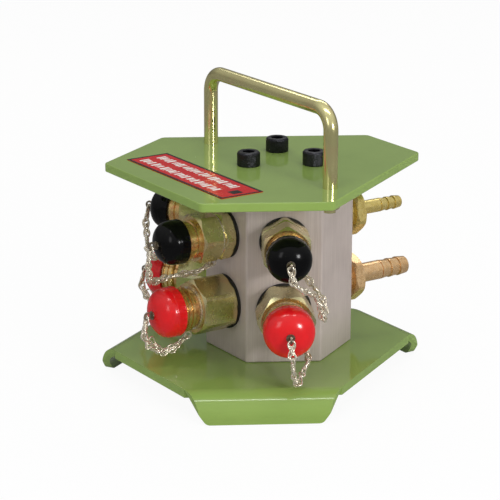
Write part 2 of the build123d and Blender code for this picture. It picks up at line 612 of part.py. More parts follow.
def make_cap(radius, start, end, inner_r):
    """A moulded dust cap: round-shouldered cup with grip ribs near the rim and a hole for its eye."""
    with BuildSketch(Plane.XZ) as section:
        with BuildLine():
            rim = Line((inner_r, start), (radius - 0.6, start))
            edge = Line(rim @ 1, (radius, start + 0.6))
            side = Line(edge @ 1, (radius, end - CAP_DOME_R))
            dome = RadiusArc(side @ 1, (radius - CAP_DOME_R, end), -CAP_DOME_R)
            top = Line(dome @ 1, (EYE_SHANK_R + FIT, end))
            hole = Line(top @ 1, (EYE_SHANK_R + FIT, end - CAP_END_WALL))
            floor = Line(hole @ 1, (inner_r - 2, end - CAP_END_WALL))
            bend = Line(floor @ 1, (inner_r, end - CAP_END_WALL - 2))
            Line(bend @ 1, rim @ 0)
        make_face()
    cap = revolve(section.sketch, Axis.Z)
    for step in range(CAP_RIB_COUNT):
        notch = Pos(radius, 0, start + CAP_RIB_LENGTH / 2) * Box(2 * CAP_RIB_DEPTH, CAP_RIB_WIDTH, CAP_RIB_LENGTH)
        cap -= Rot(0, 0, 360 / CAP_RIB_COUNT * (step + 0.5)) * notch
    return cap


def make_eye(end):
    """The eyelet riveted through a cap's end, with an eye for the first link."""
    inner_face = end - CAP_END_WALL
    rivet = turned((0, inner_face - EYE_WASHER_THICKNESS), (EYE_WASHER_R, inner_face - EYE_WASHER_THICKNESS),
                   (EYE_WASHER_R, inner_face), (EYE_SHANK_R, inner_face), (EYE_SHANK_R, end),
                   (EYE_WASHER_R - 1, end), (EYE_WASHER_R - 1, end + 0.6), (0, end + 0.6))
    disc = extrude(Circle(EYE_R), EYE_THICKNESS / 2, both=True)
    rivet += Pos(0, 0, end + EYE_STANDOFF) * Rot(0, 90, 0) * disc
    hole = extrude(Circle(EYE_HOLE_R), EYE_THICKNESS, both=True)
    return rivet - Pos(0, 0, end + EYE_STANDOFF) * Rot(0, 90, 0) * hole


def make_chain_ring(neck_r, start, eye_shift, ear_angle):
    """The ring that holds a chain on a coupler's neck: a flat ring with a short arm and an eye on edge."""
    inner = neck_r + COLLAR_RING_GAP
    ring = tube(inner + COLLAR_RING_WALL, inner, 0, COLLAR_RING_WIDTH)
    arm_start = inner + EAR_OVERLAP
    arm_end = EAR_RADIUS - EYE_HOLE_R + EAR_OVERLAP
    arm = Pos((arm_start + arm_end) / 2, 0, COLLAR_RING_WIDTH / 2) * Box(
        arm_end - arm_start, EYE_THICKNESS, COLLAR_RING_WIDTH)
    eye = Pos(EAR_RADIUS, 0, eye_shift) * Rot(90, 0, 0)
    ring += Rot(0, 0, ear_angle) * (arm + eye * extrude(Circle(EYE_R), EYE_THICKNESS / 2, both=True))
    ring -= Rot(0, 0, ear_angle) * eye * extrude(Circle(EYE_HOLE_R), EYE_THICKNESS, both=True)
    return Pos(0, 0, start) * ring


def stride(points, start_gap, pitch, count):
    """The joints of a chain laid on a dense line of points, and how much line is left after the last."""
    joints = []
    reach = start_gap
    origin = points[0]
    for before, after in zip(points, points[1:]):
        if (after - origin).length >= reach:
            near, far = (before - origin).length, (after - origin).length
            origin = before + (after - before) * ((reach - near) / (far - near))
            joints.append(origin)
            reach = pitch
            if len(joints) == count + 1:
                break
    missing = count + 1 - len(joints)
    left = (points[-1] - joints[-1]).length - missing * pitch - start_gap
    return joints, left


def chain_joints(route, pitch):
    """Joints of a chain of whole links between two eyes; the drawn droop is scaled until they fit."""
    curve = Spline(*route)
    drawn = [curve.position_at(i / ROUTE_STEPS) for i in range(ROUTE_STEPS + 1)]
    first, last = drawn[0], drawn[-1]
    chord = [first + (last - first) * (i / ROUTE_STEPS) for i in range(ROUTE_STEPS + 1)]
    gap = LINK_HANG + (LINK_WIRE + LINK_PLAY) / 2
    count = round((curve.length - 2 * gap) / pitch)
    low, high = 0.6, 1.5
    for _ in range(30):
        scale = (low + high) / 2
        hung = [c + (d - c) * scale for c, d in zip(chord, drawn)]
        joints, left = stride(hung, gap, pitch, count)
        if left > 0:
            high = scale
        else:
            low = scale
    return joints, scale


def turned_about(vector, axis, degrees):
    """A vector turned about a unit axis it stands square to."""
    angle = math.radians(degrees)
    return vector * math.cos(angle) + axis.cross(vector) * math.sin(angle)


def carried(vector, before, after):
    """A vector square to one direction, carried with it as it turns the shortest way to another."""
    return vector - (before + after) * (vector.dot(after) / (1 + before.dot(after)))


def link_frames(joints, end_side):
    """Direction and width direction of each link: square to the one before, with an even twist that
    brings the last link square to the eye it hangs in."""
    directions = [(b - a).normalized() for a, b in zip(joints, joints[1:])]

    def walk(twist):
        direction = directions[0]
        across = Vector(1, 0, 0)
        side = (across - direction * across.dot(direction)).normalized()
        frames = [(direction, side)]
        for after in directions[1:]:
            side = carried(direction.cross(side), direction, after)
            side = turned_about(side, after, twist)
            frames.append((after, side))
            direction = after
        return frames

    twist = 0.0
    for _ in range(TWIST_STEPS):
        direction, side = walk(twist)[-1]
        wanted = (end_side - direction * end_side.dot(direction)).normalized()
        error = math.degrees(math.atan2(direction.dot(side.cross(wanted)), side.dot(wanted)))
        twist += ((error + 90) % 180 - 90) / (len(directions) - 1) / 2
    return walk(twist)


def link_outline(length, width):
    """The outline of a chain link: a long octagon, with the few faces that so many links can have."""
    nose = width / 2 * (1 - math.tan(math.radians(22.5)))
    outline = []
    for x, y in ((length / 2, width / 2 - nose), (length / 2 - nose, width / 2)):
        outline.append((x, y))
    outline += [(-x, y) for x, y in reversed(outline)]
    outline += [(-x, -y) for x, y in outline]
    return Polygon(*outline, align=None)


def make_chain(route, end_side):
    """A chain of equal links along a route; each link lies at a right angle to the one before."""
    inner = LINK_LENGTH - 2 * LINK_WIRE
    joints, scale = chain_joints(route, inner - LINK_PLAY)
    link = extrude(link_outline(LINK_LENGTH, LINK_WIDTH), LINK_WIRE / 2, both=True)
    link -= extrude(link_outline(inner, LINK_WIDTH - 2 * LINK_WIRE), LINK_WIRE, both=True)
    links = []
    for here, there, (direction, side) in zip(joints, joints[1:], link_frames(joints, end_side)):
        place = Plane(origin=(here + there) / 2, x_dir=direction, z_dir=direction.cross(side))
        links.append(Location(place) * link)
    print("chain of", len(links), "links, droop scaled by", round(scale, 3))
    return links


def make_barb(radius, bore_r, first_ridge, end, spigot_r, spigot_length):
    """A hose barb: spigot in the block, neck, hexagon, plain stem and three ridges that bite the hose."""
    hex_end = BARB_HEX_START + BARB_HEX_LENGTH
    valley = radius - BARB_VALLEY
    ridge_length = (end - first_ridge) / BARB_RIDGES
    outline = [(bore_r, -spigot_length), (spigot_r, -spigot_length), (spigot_r, SEAL_THICKNESS),
               (BARB_NECK_R, SEAL_THICKNESS), (BARB_NECK_R, BARB_HEX_START + 1), (radius, BARB_HEX_START + 1),
               (radius, first_ridge - BARB_GROOVE)]
    for number in range(BARB_RIDGES):
        ridge = first_ridge + ridge_length * number
        outline += [(valley, ridge - 0.3), (valley, ridge), (radius, ridge + 0.1), (radius, ridge + 0.7)]
    outline += [(valley, end - 0.5), (valley - 0.5, end), (bore_r, end)]
    nut = hexagon(BARB_HEX_AF, BARB_HEX_START, hex_end, BARB_HEX_ROLL)
    return turned(*outline) + (nut - rod(bore_r, BARB_HEX_START - 1, hex_end + 1))


def eye_place(end):
    """Where the first link passes through a cap's eye, in the coupler's own frame."""
    return Vector(0, 0, end + EYE_STANDOFF)


def ear_place(centre, angle):
    """Where the last link passes through a chain ring's eye, in the coupler's own frame."""
    turn = math.radians(angle)
    return Vector(EAR_RADIUS * math.cos(turn), EAR_RADIUS * math.sin(turn), centre)


def hang_chain(face, colour, cap_end, ring_eye):
    """One chain in the coupler's own frame, from the cap's eye to the eye of the ring on the neck."""
    points = [eye_place(cap_end)]
    for out, right, up in CHAIN_ROUTE[face, colour]:
        points.append(Vector(right, up, out))
    angle = EAR_ANGLE[face, colour]
    points.append(ear_place(ring_eye, angle))
    turn = math.radians(angle)
    return make_chain(points, Vector(-math.sin(turn), math.cos(turn), 0))


def add_socket(parts, face):
    """The socket, its red cap and its chain on the lower port of one face."""
    place = at_face(face, LOWER_PORT)
    roll = COUPLERS[face]["socket_roll"]
    valve, valve_back = make_valve(SOCKET_VALVE_R, SOCKET_BUTTON_R, SEAT_R, MOUTH_BOTTOM - SEAT_LAND,
                                   MOUTH_BOTTOM + SOCKET_BUTTON_STICKOUT)
    parts[face + "_socket_body"] = [place * make_socket_body(roll)]
    parts[face + "_socket_sleeve"] = [place * make_sleeve()]
    parts[face + "_sleeve_spring"] = [place * spring(
        (SHOULDER_R + NOSE_R) / 2 + 0.05, SLEEVE_SPRING_WIRE, SHOULDER_END, SLEEVE_LAND_START,
        SLEEVE_SPRING_TURNS)]
    parts[face + "_socket_valve"] = [place * valve]
    parts[face + "_socket_valve_spring"] = [place * spring(
        STEM_R + 2.6, VALVE_SPRING_WIRE, CHAMBER_END, valve_back, VALVE_SPRING_TURNS)]
    parts[face + "_red_cap"] = [place * make_cap(RED_CAP_R, RED_CAP_START, RED_CAP_END, SLEEVE_R + CAP_GRIP)]
    parts[face + "_red_cap_eye"] = [place * make_eye(RED_CAP_END)]
    parts[face + "_red_chain"] = [place * link for link in hang_chain(
        face, "red", RED_CAP_END, RED_RING_AT + EYE_R)]
    parts["lock_balls"] += [place * ball for ball in make_lock_balls()]
    parts["stop_rings"] += [place * make_stop_ring()]
    parts["mouth_seals"] += [place * tube(MOUTH_SEAL_R - FIT, MOUTH_R - MOUTH_SEAL_SQUEEZE,
                                          MOUTH_SEAL_AT + FIT, MOUTH_SEAL_AT + MOUTH_SEAL_WIDTH - FIT)]
    parts["valve_guides"] += [place * Pos(0, 0, CHAMBER_END - GUIDE_THICKNESS) * make_valve_guide()]
    parts["port_seals"] += [place * make_seal(SOCKET_SEAL_D, SOCKET_SPIGOT_R)]
    parts["chain_rings"] += [place * make_chain_ring(SHOULDER_R, RED_RING_AT, EYE_R, EAR_ANGLE[face, "red"])]


def add_plug(parts, face):
    """The plug, its black cap and its chain on the upper port of one face."""
    place = at_face(face, UPPER_PORT)
    roll = COUPLERS[face]["plug_roll"]
    valve, valve_back = make_valve(PLUG_VALVE_R, PLUG_BUTTON_R, PLUG_SEAT_R, NIPPLE_END - PLUG_SEAT_LAND,
                                   NIPPLE_END - SEAT_GAP)
    parts[face + "_plug_body"] = [place * make_plug_body(roll)]
    parts[face + "_plug_valve"] = [place * valve]
    parts[face + "_plug_valve_spring"] = [place * spring(
        STEM_R + 2.0, VALVE_SPRING_WIRE, CHAMBER_END, valve_back, VALVE_SPRING_TURNS)]
    parts[face + "_black_cap"] = [place * make_cap(BLACK_CAP_R, BLACK_CAP_START, BLACK_CAP_END,
                                                   COLLAR_R + CAP_GRIP)]
    parts[face + "_black_cap_eye"] = [place * make_eye(BLACK_CAP_END)]
    parts[face + "_black_chain"] = [place * link for link in hang_chain(
        face, "black", BLACK_CAP_END, BLACK_RING_AT + COLLAR_RING_WIDTH / 2)]
    parts["plug_adapters"] += [place * make_plug_adapter(roll)]
    parts["valve_guides"] += [place * Pos(0, 0, CHAMBER_END - GUIDE_THICKNESS) * make_valve_guide()]
    parts["port_seals"] += [place * make_seal(PLUG_SEAL_D, PLUG_SPIGOT_R)]
    parts["chain_rings"] += [place * make_chain_ring(JOINT_GROOVE_R, BLACK_RING_AT, COLLAR_RING_WIDTH / 2,
                                                       EAR_ANGLE[face, "black"])]


def add_barbs(parts):
    """The two hose barbs on the hose face, with their seals."""
    rows = (
        ("upper_hose_barb", UPPER_PORT, UPPER_BARB_R, UPPER_BARB_BORE_R, UPPER_BARB_FIRST_RIDGE,
         UPPER_BARB_END, PLUG_SPIGOT_R, PLUG_SPIGOT_LENGTH),
        ("lower_hose_barb", LOWER_PORT, LOWER_BARB_R, LOWER_BARB_BORE_R, LOWER_BARB_FIRST_RIDGE,
         LOWER_BARB_END, SOCKET_SPIGOT_R, SOCKET_SPIGOT_LENGTH),
    )
    for name, height, radius, bore_r, first_ridge, end, spigot_r, spigot_length in rows:
        place = at_face("hose", height)
        parts[name] = [place * make_barb(radius, bore_r, first_ridge, end, spigot_r, spigot_length)]
        parts["port_seals"] += [place * make_seal(BARB_SEAL_D, spigot_r)]


def make_parts():
    """Every node of the object and its solids, with the block's axis on Z."""
    parts = {name: [] for name in ("plug_adapters", "port_seals", "valve_guides", "chain_rings",
                                   "lock_balls", "stop_rings", "mouth_seals")}
    parts["manifold_block"] = [make_block()]
    parts["top_plate"] = [make_top_plate()]
    parts["base_plate"] = [make_base_plate()]
    parts["top_plate_screws"] = make_top_screws()
    parts["base_plate_screws"] = make_base_screws()
    parts["carrying_handle"] = [make_handle()]
    parts["handle_nuts"], parts["handle_washers"] = make_handle_nuts()
    parts["label_plate"] = [make_label()]
    for face in COUPLERS:
        add_plug(parts, face)
        add_socket(parts, face)
    add_barbs(parts)
    return parts


def whole_box(parts):
    """The box round every solid."""
    return Compound([s for solids in parts.values() for shape in solids for s in shape.solids()]).bounding_box()


def main():
    """Build every node, move the origin to the centre of the footprint and write one file per node."""
    parts = make_parts()
    box = whole_box(parts)
    shift = Pos(-(box.min.X + box.max.X) / 2, -(box.min.Y + box.max.Y) / 2, -box.min.Z)
    os.makedirs("parts", exist_ok=True)
    for name, shapes in parts.items():
        solids = [s for shape in shapes for s in shape.solids()]
        node = Compound(solids) if len(solids) > 1 else solids[0]
        export_step(shift * node, os.path.join("parts", name + ".step"))
    print(len(parts), "nodes, block axis at", round(shift.position.X, 4), round(shift.position.Y, 4))


if __name__ == "__main__":
    main()
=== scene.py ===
"""The looks of the three-way quick coupler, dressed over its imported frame.

Lengths are in metres and colours are written as eight-bit sRGB. Every piece is placed from the
frame: the block's box gives the axis, the record's mounts give each coupler's axis and height.
"""

import json
import logging
import math
from dataclasses import dataclass
from enum import Enum
from typing import Sequence

import bpy
import numpy as np
from mathutils import Matrix, Vector


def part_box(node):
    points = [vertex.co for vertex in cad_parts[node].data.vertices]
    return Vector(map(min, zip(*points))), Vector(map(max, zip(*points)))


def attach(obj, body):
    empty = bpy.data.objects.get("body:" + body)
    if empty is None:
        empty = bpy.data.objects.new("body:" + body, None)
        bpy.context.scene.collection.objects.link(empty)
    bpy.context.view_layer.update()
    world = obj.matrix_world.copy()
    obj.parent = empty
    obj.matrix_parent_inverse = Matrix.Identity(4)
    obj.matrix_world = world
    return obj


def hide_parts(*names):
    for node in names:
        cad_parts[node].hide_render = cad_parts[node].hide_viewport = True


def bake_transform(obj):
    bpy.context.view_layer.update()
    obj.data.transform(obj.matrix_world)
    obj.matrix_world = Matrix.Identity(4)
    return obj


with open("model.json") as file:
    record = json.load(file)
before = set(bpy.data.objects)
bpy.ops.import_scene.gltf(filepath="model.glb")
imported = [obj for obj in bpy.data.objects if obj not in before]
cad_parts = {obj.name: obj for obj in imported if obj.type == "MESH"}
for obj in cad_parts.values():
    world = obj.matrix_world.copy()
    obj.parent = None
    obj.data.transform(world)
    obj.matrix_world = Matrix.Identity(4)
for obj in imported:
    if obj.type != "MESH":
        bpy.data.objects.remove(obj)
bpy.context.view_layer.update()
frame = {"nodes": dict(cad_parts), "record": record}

LOG = logging.getLogger("coupler")
MM = 0.001
BLOCK_ACROSS_FLATS = 90 * MM
PLATE_EDGE_ANGLE = math.radians(210)
SCREW_ANGLES = (210.0, 90.0, -30.0)
SHARP_ANGLE = math.radians(38)
ARC_POINTS = 5
SOCKET_NECK = 28.5 * MM
PLUG_NECK = 27.5 * MM
Colour = tuple[int, int, int]
Triple = tuple[float, float, float]
LAMP_AIM: Triple = (0.0, 0.0, 0.1)


class Face(Enum):
    """The faces of the block that carry a pair of couplers."""

    FRONT = "front"
    LEFT = "left"
    REAR = "rear"


class CapKind(Enum):
    """The two dust caps of a face: red on the lower socket, black on the upper plug."""

    RED = "red"
    BLACK = "black"

    @property
    def mount(self) -> str:
        """The end of the name of the mount under this cap."""
        return "socket_mouth" if self is CapKind.RED else "plug_nipple"


def linear(colour: Colour) -> tuple[float, float, float, float]:
    """An sRGB colour as the linear one that a shader takes.

    Args:
        colour: red, green and blue, 0 to 255.

    Returns:
        Linear red, green, blue and an alpha of 1.
    """
    share = np.array(colour) / 255
    value = np.where(share <= 0.04045, share / 12.92, ((share + 0.055) / 1.055) ** 2.4)
    return float(value[0]), float(value[1]), float(value[2]), 1.0


class NodeGraph:
    """A node tree with short ways to add nodes to it."""

    def __init__(self, tree: bpy.types.NodeTree) -> None:
        """Take over the tree of a material or of the world."""
        self.tree = tree

    def add(self, kind: str, **values: object) -> bpy.types.Node:
        """Add a node.

        Args:
            kind: Blender's name of the node type.
            values: properties of the node, or input sockets by name with spaces as underscores.

        Returns:
            The new node.
        """
        node = self.tree.nodes.new(kind)
        for key, value in values.items():
            socket = node.inputs.get(key.replace("_", " "))
            if socket is not None:
                socket.default_value = value
            else:
                setattr(node, key, value)
        return node

    def link(self, source: bpy.types.NodeSocket, target: bpy.types.NodeSocket) -> None:
        """Join an output socket to an input socket."""
        self.tree.links.new(source, target)

    def spread(self, value: bpy.types.NodeSocket, low: float, high: float, start: float = 0.3,
               end: float = 0.7) -> bpy.types.NodeSocket:
        """Map a value to a range, clamped.

        Args:
            value: what is mapped.
            low: the result at start.
            high: the result at end.
            start: the value that gives low.
            end: the value that gives high.

        Returns:
            The mapped value.
        """
        node = self.add("ShaderNodeMapRange", From_Min=start, From_Max=end, To_Min=low, To_Max=high)
        self.link(value, node.inputs["Value"])
        return node.outputs["Result"]

    def join(self, operation: str, *values: bpy.types.NodeSocket | float) -> bpy.types.NodeSocket:
        """Combine values with a math node.

        Args:
            operation: Blender's name of the operation.
            values: its operands, each a socket or a number.

        Returns:
            The result.
        """
        node = self.add("ShaderNodeMath", operation=operation)
        for socket, value in zip(node.inputs, values):
            if isinstance(value, bpy.types.NodeSocket):
                self.link(value, socket)
            else:
                socket.default_value = value
        return node.outputs[0]

    def cross_fade(self, share: bpy.types.NodeSocket, first: bpy.types.NodeSocket,
                   second: bpy.types.NodeSocket, output: str) -> None:
        """Mix two shaders and send the mix to the tree's output.

        Args:
            share: 0 gives the first, 1 the second.
            first: a shader.
            second: a shader.
            output: the name of the output node.
        """
        mix = self.add("ShaderNodeMixShader")
        for source, target in zip((share, first, second), mix.inputs):
            self.link(source, target)
        self.link(mix.outputs[0], self.tree.nodes[output].inputs["Surface"])


class ShaderGraph(NodeGraph):
    """A material's node tree, which has one Principled shader."""

    def __init__(self, name: str) -> None:
        """Start a material.

        Args:
            name: the material's name.
        """
        self.material = bpy.data.materials.new(name)
        self.material.use_nodes = True
        super().__init__(self.material.node_tree)
        self.shader = self.tree.nodes["Principled BSDF"]

    def places(self, stretch: Sequence[float]) -> bpy.types.NodeSocket:
        """Object coordinates scaled along each axis.

        Args:
            stretch: factor on X, Y and Z; a small one draws the pattern out along that axis.

        Returns:
            The socket with the scaled coordinates.
        """
        where = self.add("ShaderNodeTexCoord")
        mapping = self.add("ShaderNodeMapping", Scale=tuple(stretch))
        self.link(where.outputs["Object"], mapping.inputs["Vector"])
        return mapping.outputs["Vector"]

    def noise(self, scale: float, detail: float = 3.0,
              stretch: Sequence[float] = (1, 1, 1)) -> bpy.types.NodeSocket:
        """Smooth noise over the surface.

        Args:
            scale: features per metre.
            detail: octaves of finer noise.
            stretch: factor on each axis.

        Returns:
            The noise, about 0.5 on average.
        """
        node = self.add("ShaderNodeTexNoise", Scale=scale, Detail=detail)
        self.link(self.places(stretch), node.inputs["Vector"])
        return node.outputs["Fac"]

    def blend(self, share: bpy.types.NodeSocket, first: object,
              second: object) -> bpy.types.NodeSocket:
        """Mix two colours.

        Args:
            share: 0 gives the first, 1 the second.
            first: a colour or a socket.
            second: a colour or a socket.

        Returns:
            The mixed colour.
        """
        node = self.add("ShaderNodeMix", data_type="RGBA")
        self.link(share, node.inputs["Factor"])
        for socket, value in ((node.inputs[6], first), (node.inputs[7], second)):
            if isinstance(value, bpy.types.NodeSocket):
                self.link(value, socket)
            else:
                socket.default_value = linear(value)
        return node.outputs[2]

    def bump(self, height: bpy.types.NodeSocket, distance: float, strength: float = 1.0) -> None:
        """Give the shader a bump.

        Args:
            height: the relief, 0 to 1.
            distance: how high 1 stands, in metres.
            strength: share of it that shows.
        """
        node = self.add("ShaderNodeBump", Distance=distance, Strength=strength)
        self.link(height, node.inputs["Height"])
        self.link(node.outputs["Normal"], self.shader.inputs["Normal"])

    def set(self, **values: object) -> None:
        """Set sockets of the shader, each named with underscores for spaces."""
        for key, value in values.items():
            self.shader.inputs[key.replace("_", " ")].default_value = value


@dataclass(frozen=True)
class Paint:
    """Glossy enamel: an even colour with a faint mottle, orange peel and scuffs, under a clear skin.

    Attributes:
        name: the material's name.
        colour: the paint.
        shade: the darker tone of the mottle.
        gloss: roughness of the clean paint.
        scuff: roughness that the scuffs add.
        peel: height of the orange peel in metres.
    """

    name: str
    colour: Colour
    shade: Colour
    gloss: float = 0.12
    scuff: float = 0.16
    peel: float = 0.02 * MM

    def material(self) -> bpy.types.Material:
        """The finish as a material."""
        graph = ShaderGraph(self.name)
        mottle = graph.spread(graph.noise(scale=18, detail=4), 0.0, 1.0, start=0.35, end=0.7)
        graph.link(graph.blend(mottle, self.colour, self.shade), graph.shader.inputs["Base Color"])
        lines = graph.noise(scale=900, detail=2, stretch=(1, 0.08, 1))
        scuffs = graph.spread(lines, self.gloss, self.gloss + self.scuff, start=0.55, end=0.8)
        graph.link(scuffs, graph.shader.inputs["Roughness"])
        graph.bump(graph.noise(scale=420, detail=2), self.peel, strength=0.5)
        graph.set(Coat_Weight=0.55, Coat_Roughness=0.03, Coat_IOR=1.45)
        graph.set(IOR=1.4, Specular_IOR_Level=0.25)
        return graph.material


@dataclass(frozen=True)
class DrawnMetal:
    """Machined or drawn metal: fine, brighter lines along one direction over a soft cloudy tone.

    Attributes:
        name: the material's name.
        colour: the usual tone.
        shade: the tone of the darker clouds.
        glint: the tone of the bright lines.
        stretch: factor on each axis; the lines run along the small one.
        gloss: roughness between the lines.
        metallic: how much of a metal it reflects as.
        lines: lines per metre.
        relief: depth of the lines in metres.
        wear: roughness that the lines add.
    """

    name: str
    colour: Colour
    shade: Colour
    glint: Colour
    stretch: tuple[float, float, float] = (1, 1, 0.02)
    gloss: float = 0.38
    metallic: float = 1.0
    lines: float = 1500
    relief: float = 0.01 * MM
    wear: float = 0.14

    def material(self) -> bpy.types.Material:
        """The finish as a material."""
        graph = ShaderGraph(self.name)
        lines = graph.noise(self.lines, detail=3, stretch=self.stretch)
        clouds = graph.spread(graph.noise(scale=30, detail=3), 0.0, 0.8)
        tone = graph.blend(clouds, self.colour, self.shade)
        tone = graph.blend(graph.spread(lines, 0.0, 0.45, start=0.45, end=0.75), tone, self.glint)
        graph.link(tone, graph.shader.inputs["Base Color"])
        roughness = graph.spread(lines, self.gloss, self.gloss + self.wear)
        graph.link(roughness, graph.shader.inputs["Roughness"])
        graph.bump(lines, self.relief, strength=0.6)
        graph.set(Metallic=self.metallic)
        return graph.material


@dataclass(frozen=True)
class Chromate:
    """Zinc plate with a yellow chromate film, which drifts in tone and turns golden on turned necks.

    Attributes:
        name: the material's name.
        base: the main tone.
        drift: the tone of its broad clouds.
        pink: the redder tone of the thin film.
        film: how much of the pink shows at most.
        gloss: roughness.
        wiped: roughness that wiped patches add.
        neck_tones: the two tones of the bands round a coupler's neck.
        neck_edge: half the width over which the hexagon's tone turns into them.
    """

    name: str
    base: Colour = (210, 206, 158)
    drift: Colour = (222, 208, 154)
    pink: Colour = (230, 184, 146)
    film: float = 0.4
    gloss: float = 0.2
    wiped: float = 0.09
    neck_tones: tuple[Colour, Colour] = ((238, 206, 136), (226, 174, 118))
    neck_edge: float = 0.6 * MM

    def material(self, port: "Port | None" = None, neck: float = 0.0) -> bpy.types.Material:
        """The finish as a material.

        Args:
            port: the port of a coupler whose neck is more golden than its hexagon.
            neck: where that neck starts, off the block's face.

        Returns:
            The material.
        """
        graph = ShaderGraph(self.name)
        clouds = graph.spread(graph.noise(scale=34, detail=2), 0.0, 1.0, start=0.36, end=0.64)
        tone = graph.blend(clouds, self.base, self.drift)
        film = graph.spread(graph.noise(scale=70, detail=2), 0.0, self.film, start=0.5, end=0.7)
        tone = graph.blend(film, tone, self.pink)
        if port is not None:
            along = graph.add("ShaderNodeVectorMath", operation="DOT_PRODUCT")
            graph.link(graph.places((1, 1, 1)), along.inputs[0])
            along.inputs[1].default_value = tuple(port.out)
            place = float(port.origin @ port.out) + neck
            golden = graph.spread(along.outputs["Value"], 0.0, 1.0, start=place - self.neck_edge,
                                  end=place + self.neck_edge)
            bands = graph.spread(graph.noise(scale=260, detail=1), 0.0, 1.0, start=0.4, end=0.6)
            tone = graph.blend(golden, tone, graph.blend(bands, *self.neck_tones))
        graph.link(tone, graph.shader.inputs["Base Color"])
        patches = graph.noise(scale=240, detail=3)
        roughness = graph.spread(patches, self.gloss, self.gloss + self.wiped)
        graph.link(roughness, graph.shader.inputs["Roughness"])
        graph.bump(graph.noise(scale=1300, detail=2), 0.001 * MM, strength=0.4)
        graph.set(Metallic=0.92)
        return graph.material


@dataclass(frozen=True)
class Moulding:
    """Soft moulded plastic or rubber: an even colour, a fine skin and dusty, less glossy patches.

    Attributes:
        name: the material's name.
        colour: the plastic.
        shade: the tone of its dull patches.
        gloss: roughness of the clean skin.
        dust: roughness added by the patches.
        skin: height of the moulded skin in metres.
        shine: specular level.
    """

    name: str
    colour: Colour
    shade: Colour
    gloss: float = 0.2
    dust: float = 0.12
    skin: float = 0.015 * MM
    shine: float = 0.5

    def material(self) -> bpy.types.Material:
        """The finish as a material."""
        graph = ShaderGraph(self.name)
        patches = graph.noise(scale=120, detail=3)
        dull = graph.spread(patches, 0.0, 1.0, start=0.4, end=0.75)
        graph.link(graph.blend(dull, self.colour, self.shade), graph.shader.inputs["Base Color"])
        roughness = graph.spread(patches, self.gloss, self.gloss + self.dust)
        graph.link(roughness, graph.shader.inputs["Roughness"])
        graph.bump(graph.noise(scale=700, detail=3), self.skin, strength=0.5)
        graph.set(Specular_IOR_Level=self.shine)
        return graph.material


class FinishSet:
    """Every finish of the object, made once: those named as the record's slots and closer ones."""

    def __init__(self) -> None:
        """Make all the materials."""
        even, turned = (1, 1, 1), (0.3, 0.3, 0.3)
        finishes = (
            Paint("green_paint", (138, 164, 84), (130, 156, 78)),
            DrawnMetal("bare_aluminium", (206, 192, 186), (184, 170, 164), (228, 217, 210),
                       metallic=0.3, gloss=0.44),
            Chromate("yellow_zinc"),
            DrawnMetal("hose_brass", (236, 212, 128), (216, 190, 108), (248, 232, 168),
                       stretch=turned, gloss=0.22, metallic=0.75),
            Moulding("black_cap_pvc", (7, 7, 8), (11, 11, 12), gloss=0.12, dust=0.06, shine=0.15),
            Moulding("red_cap_pvc", (222, 22, 28), (210, 20, 26), gloss=0.15, dust=0.07),
            Moulding("seal_rubber", (34, 33, 33), (44, 43, 42), gloss=0.5, shine=0.35),
            DrawnMetal("nickel_chain", (240, 230, 212), (212, 200, 178), (250, 246, 236),
                       stretch=even, gloss=0.18, lines=600, metallic=0.75),
            DrawnMetal("blued_screws", (58, 58, 62), (48, 48, 52), (70, 70, 74), stretch=even,
                       gloss=0.24, lines=900, relief=0.002 * MM),
            DrawnMetal("plain_steel", (176, 174, 170), (140, 138, 134), (215, 212, 205), gloss=0.3),
            Moulding("label_print", (190, 14, 24), (196, 30, 22), gloss=0.2, shine=0.25),
            DrawnMetal("pink_brass", (240, 198, 144), (222, 174, 120), (250, 224, 186),
                       stretch=turned, gloss=0.22, metallic=0.75),
            Chromate("gold_zinc", (236, 208, 142), (226, 184, 118), film=0.5),
            Chromate("handle_zinc", (234, 224, 164), (222, 216, 156), film=0.25, gloss=0.15),
            DrawnMetal("eyelet_metal", (170, 158, 138), (120, 110, 96), (220, 212, 196),
                       stretch=even, gloss=0.24, lines=900),
            Moulding("white_print", (232, 230, 224), (222, 219, 212), gloss=0.3),
            Moulding("black_print", (14, 13, 13), (20, 19, 19), gloss=0.28, shine=0.2),
        )
        self.made = {finish.name: finish.material() for finish in finishes}

    def dress_frame(self) -> None:
        """Give every node its slot's finish, and a closer one where the photo shows it."""
        special = {"lower_hose_barb": self.made["pink_brass"],
                   "carrying_handle": self.made["handle_zinc"]}
        necks = ((CapKind.RED, "socket_body", SOCKET_NECK), (CapKind.BLACK, "plug_body", PLUG_NECK))
        for face in Face:
            for kind, node, neck in necks:
                name = f"{face.value}_{node}"
                special[name] = Chromate(f"zinc_{name}").material(Port.under(face, kind), neck)
            special[f"{face.value}_socket_sleeve"] = self.made["gold_zinc"]
            for kind in CapKind:
                special[f"{face.value}_{kind.value}_cap_eye"] = self.made["eyelet_metal"]
        for row in frame["record"]["subparts"]:
            name = row["node"]
            material = special.get(name, self.made[row["material_slot"]])
            node = frame["nodes"][name]
            if not node.material_slots:
                node.data.materials.append(material)
            for slot in node.material_slots:
                slot.material = material


def plan_middle(node: str) -> tuple[float, float]:
    """The middle of a node's box seen from above."""
    low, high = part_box(node)
    return (low.x + high.x) / 2, (low.y + high.y) / 2


def corners_of(mesh: bpy.types.Mesh) -> np.ndarray:
    """The vertices of a mesh, one row for each."""
    corners = np.empty(len(mesh.vertices) * 3)
    mesh.vertices.foreach_get("co", corners)
    return corners.reshape(-1, 3)


def put(name: str, data: bpy.types.ID) -> bpy.types.Object:
    """Put a mesh, lamp or camera into the scene, at the origin."""
    item = bpy.data.objects.new(name, data)
    bpy.context.scene.collection.objects.link(item)
    return item


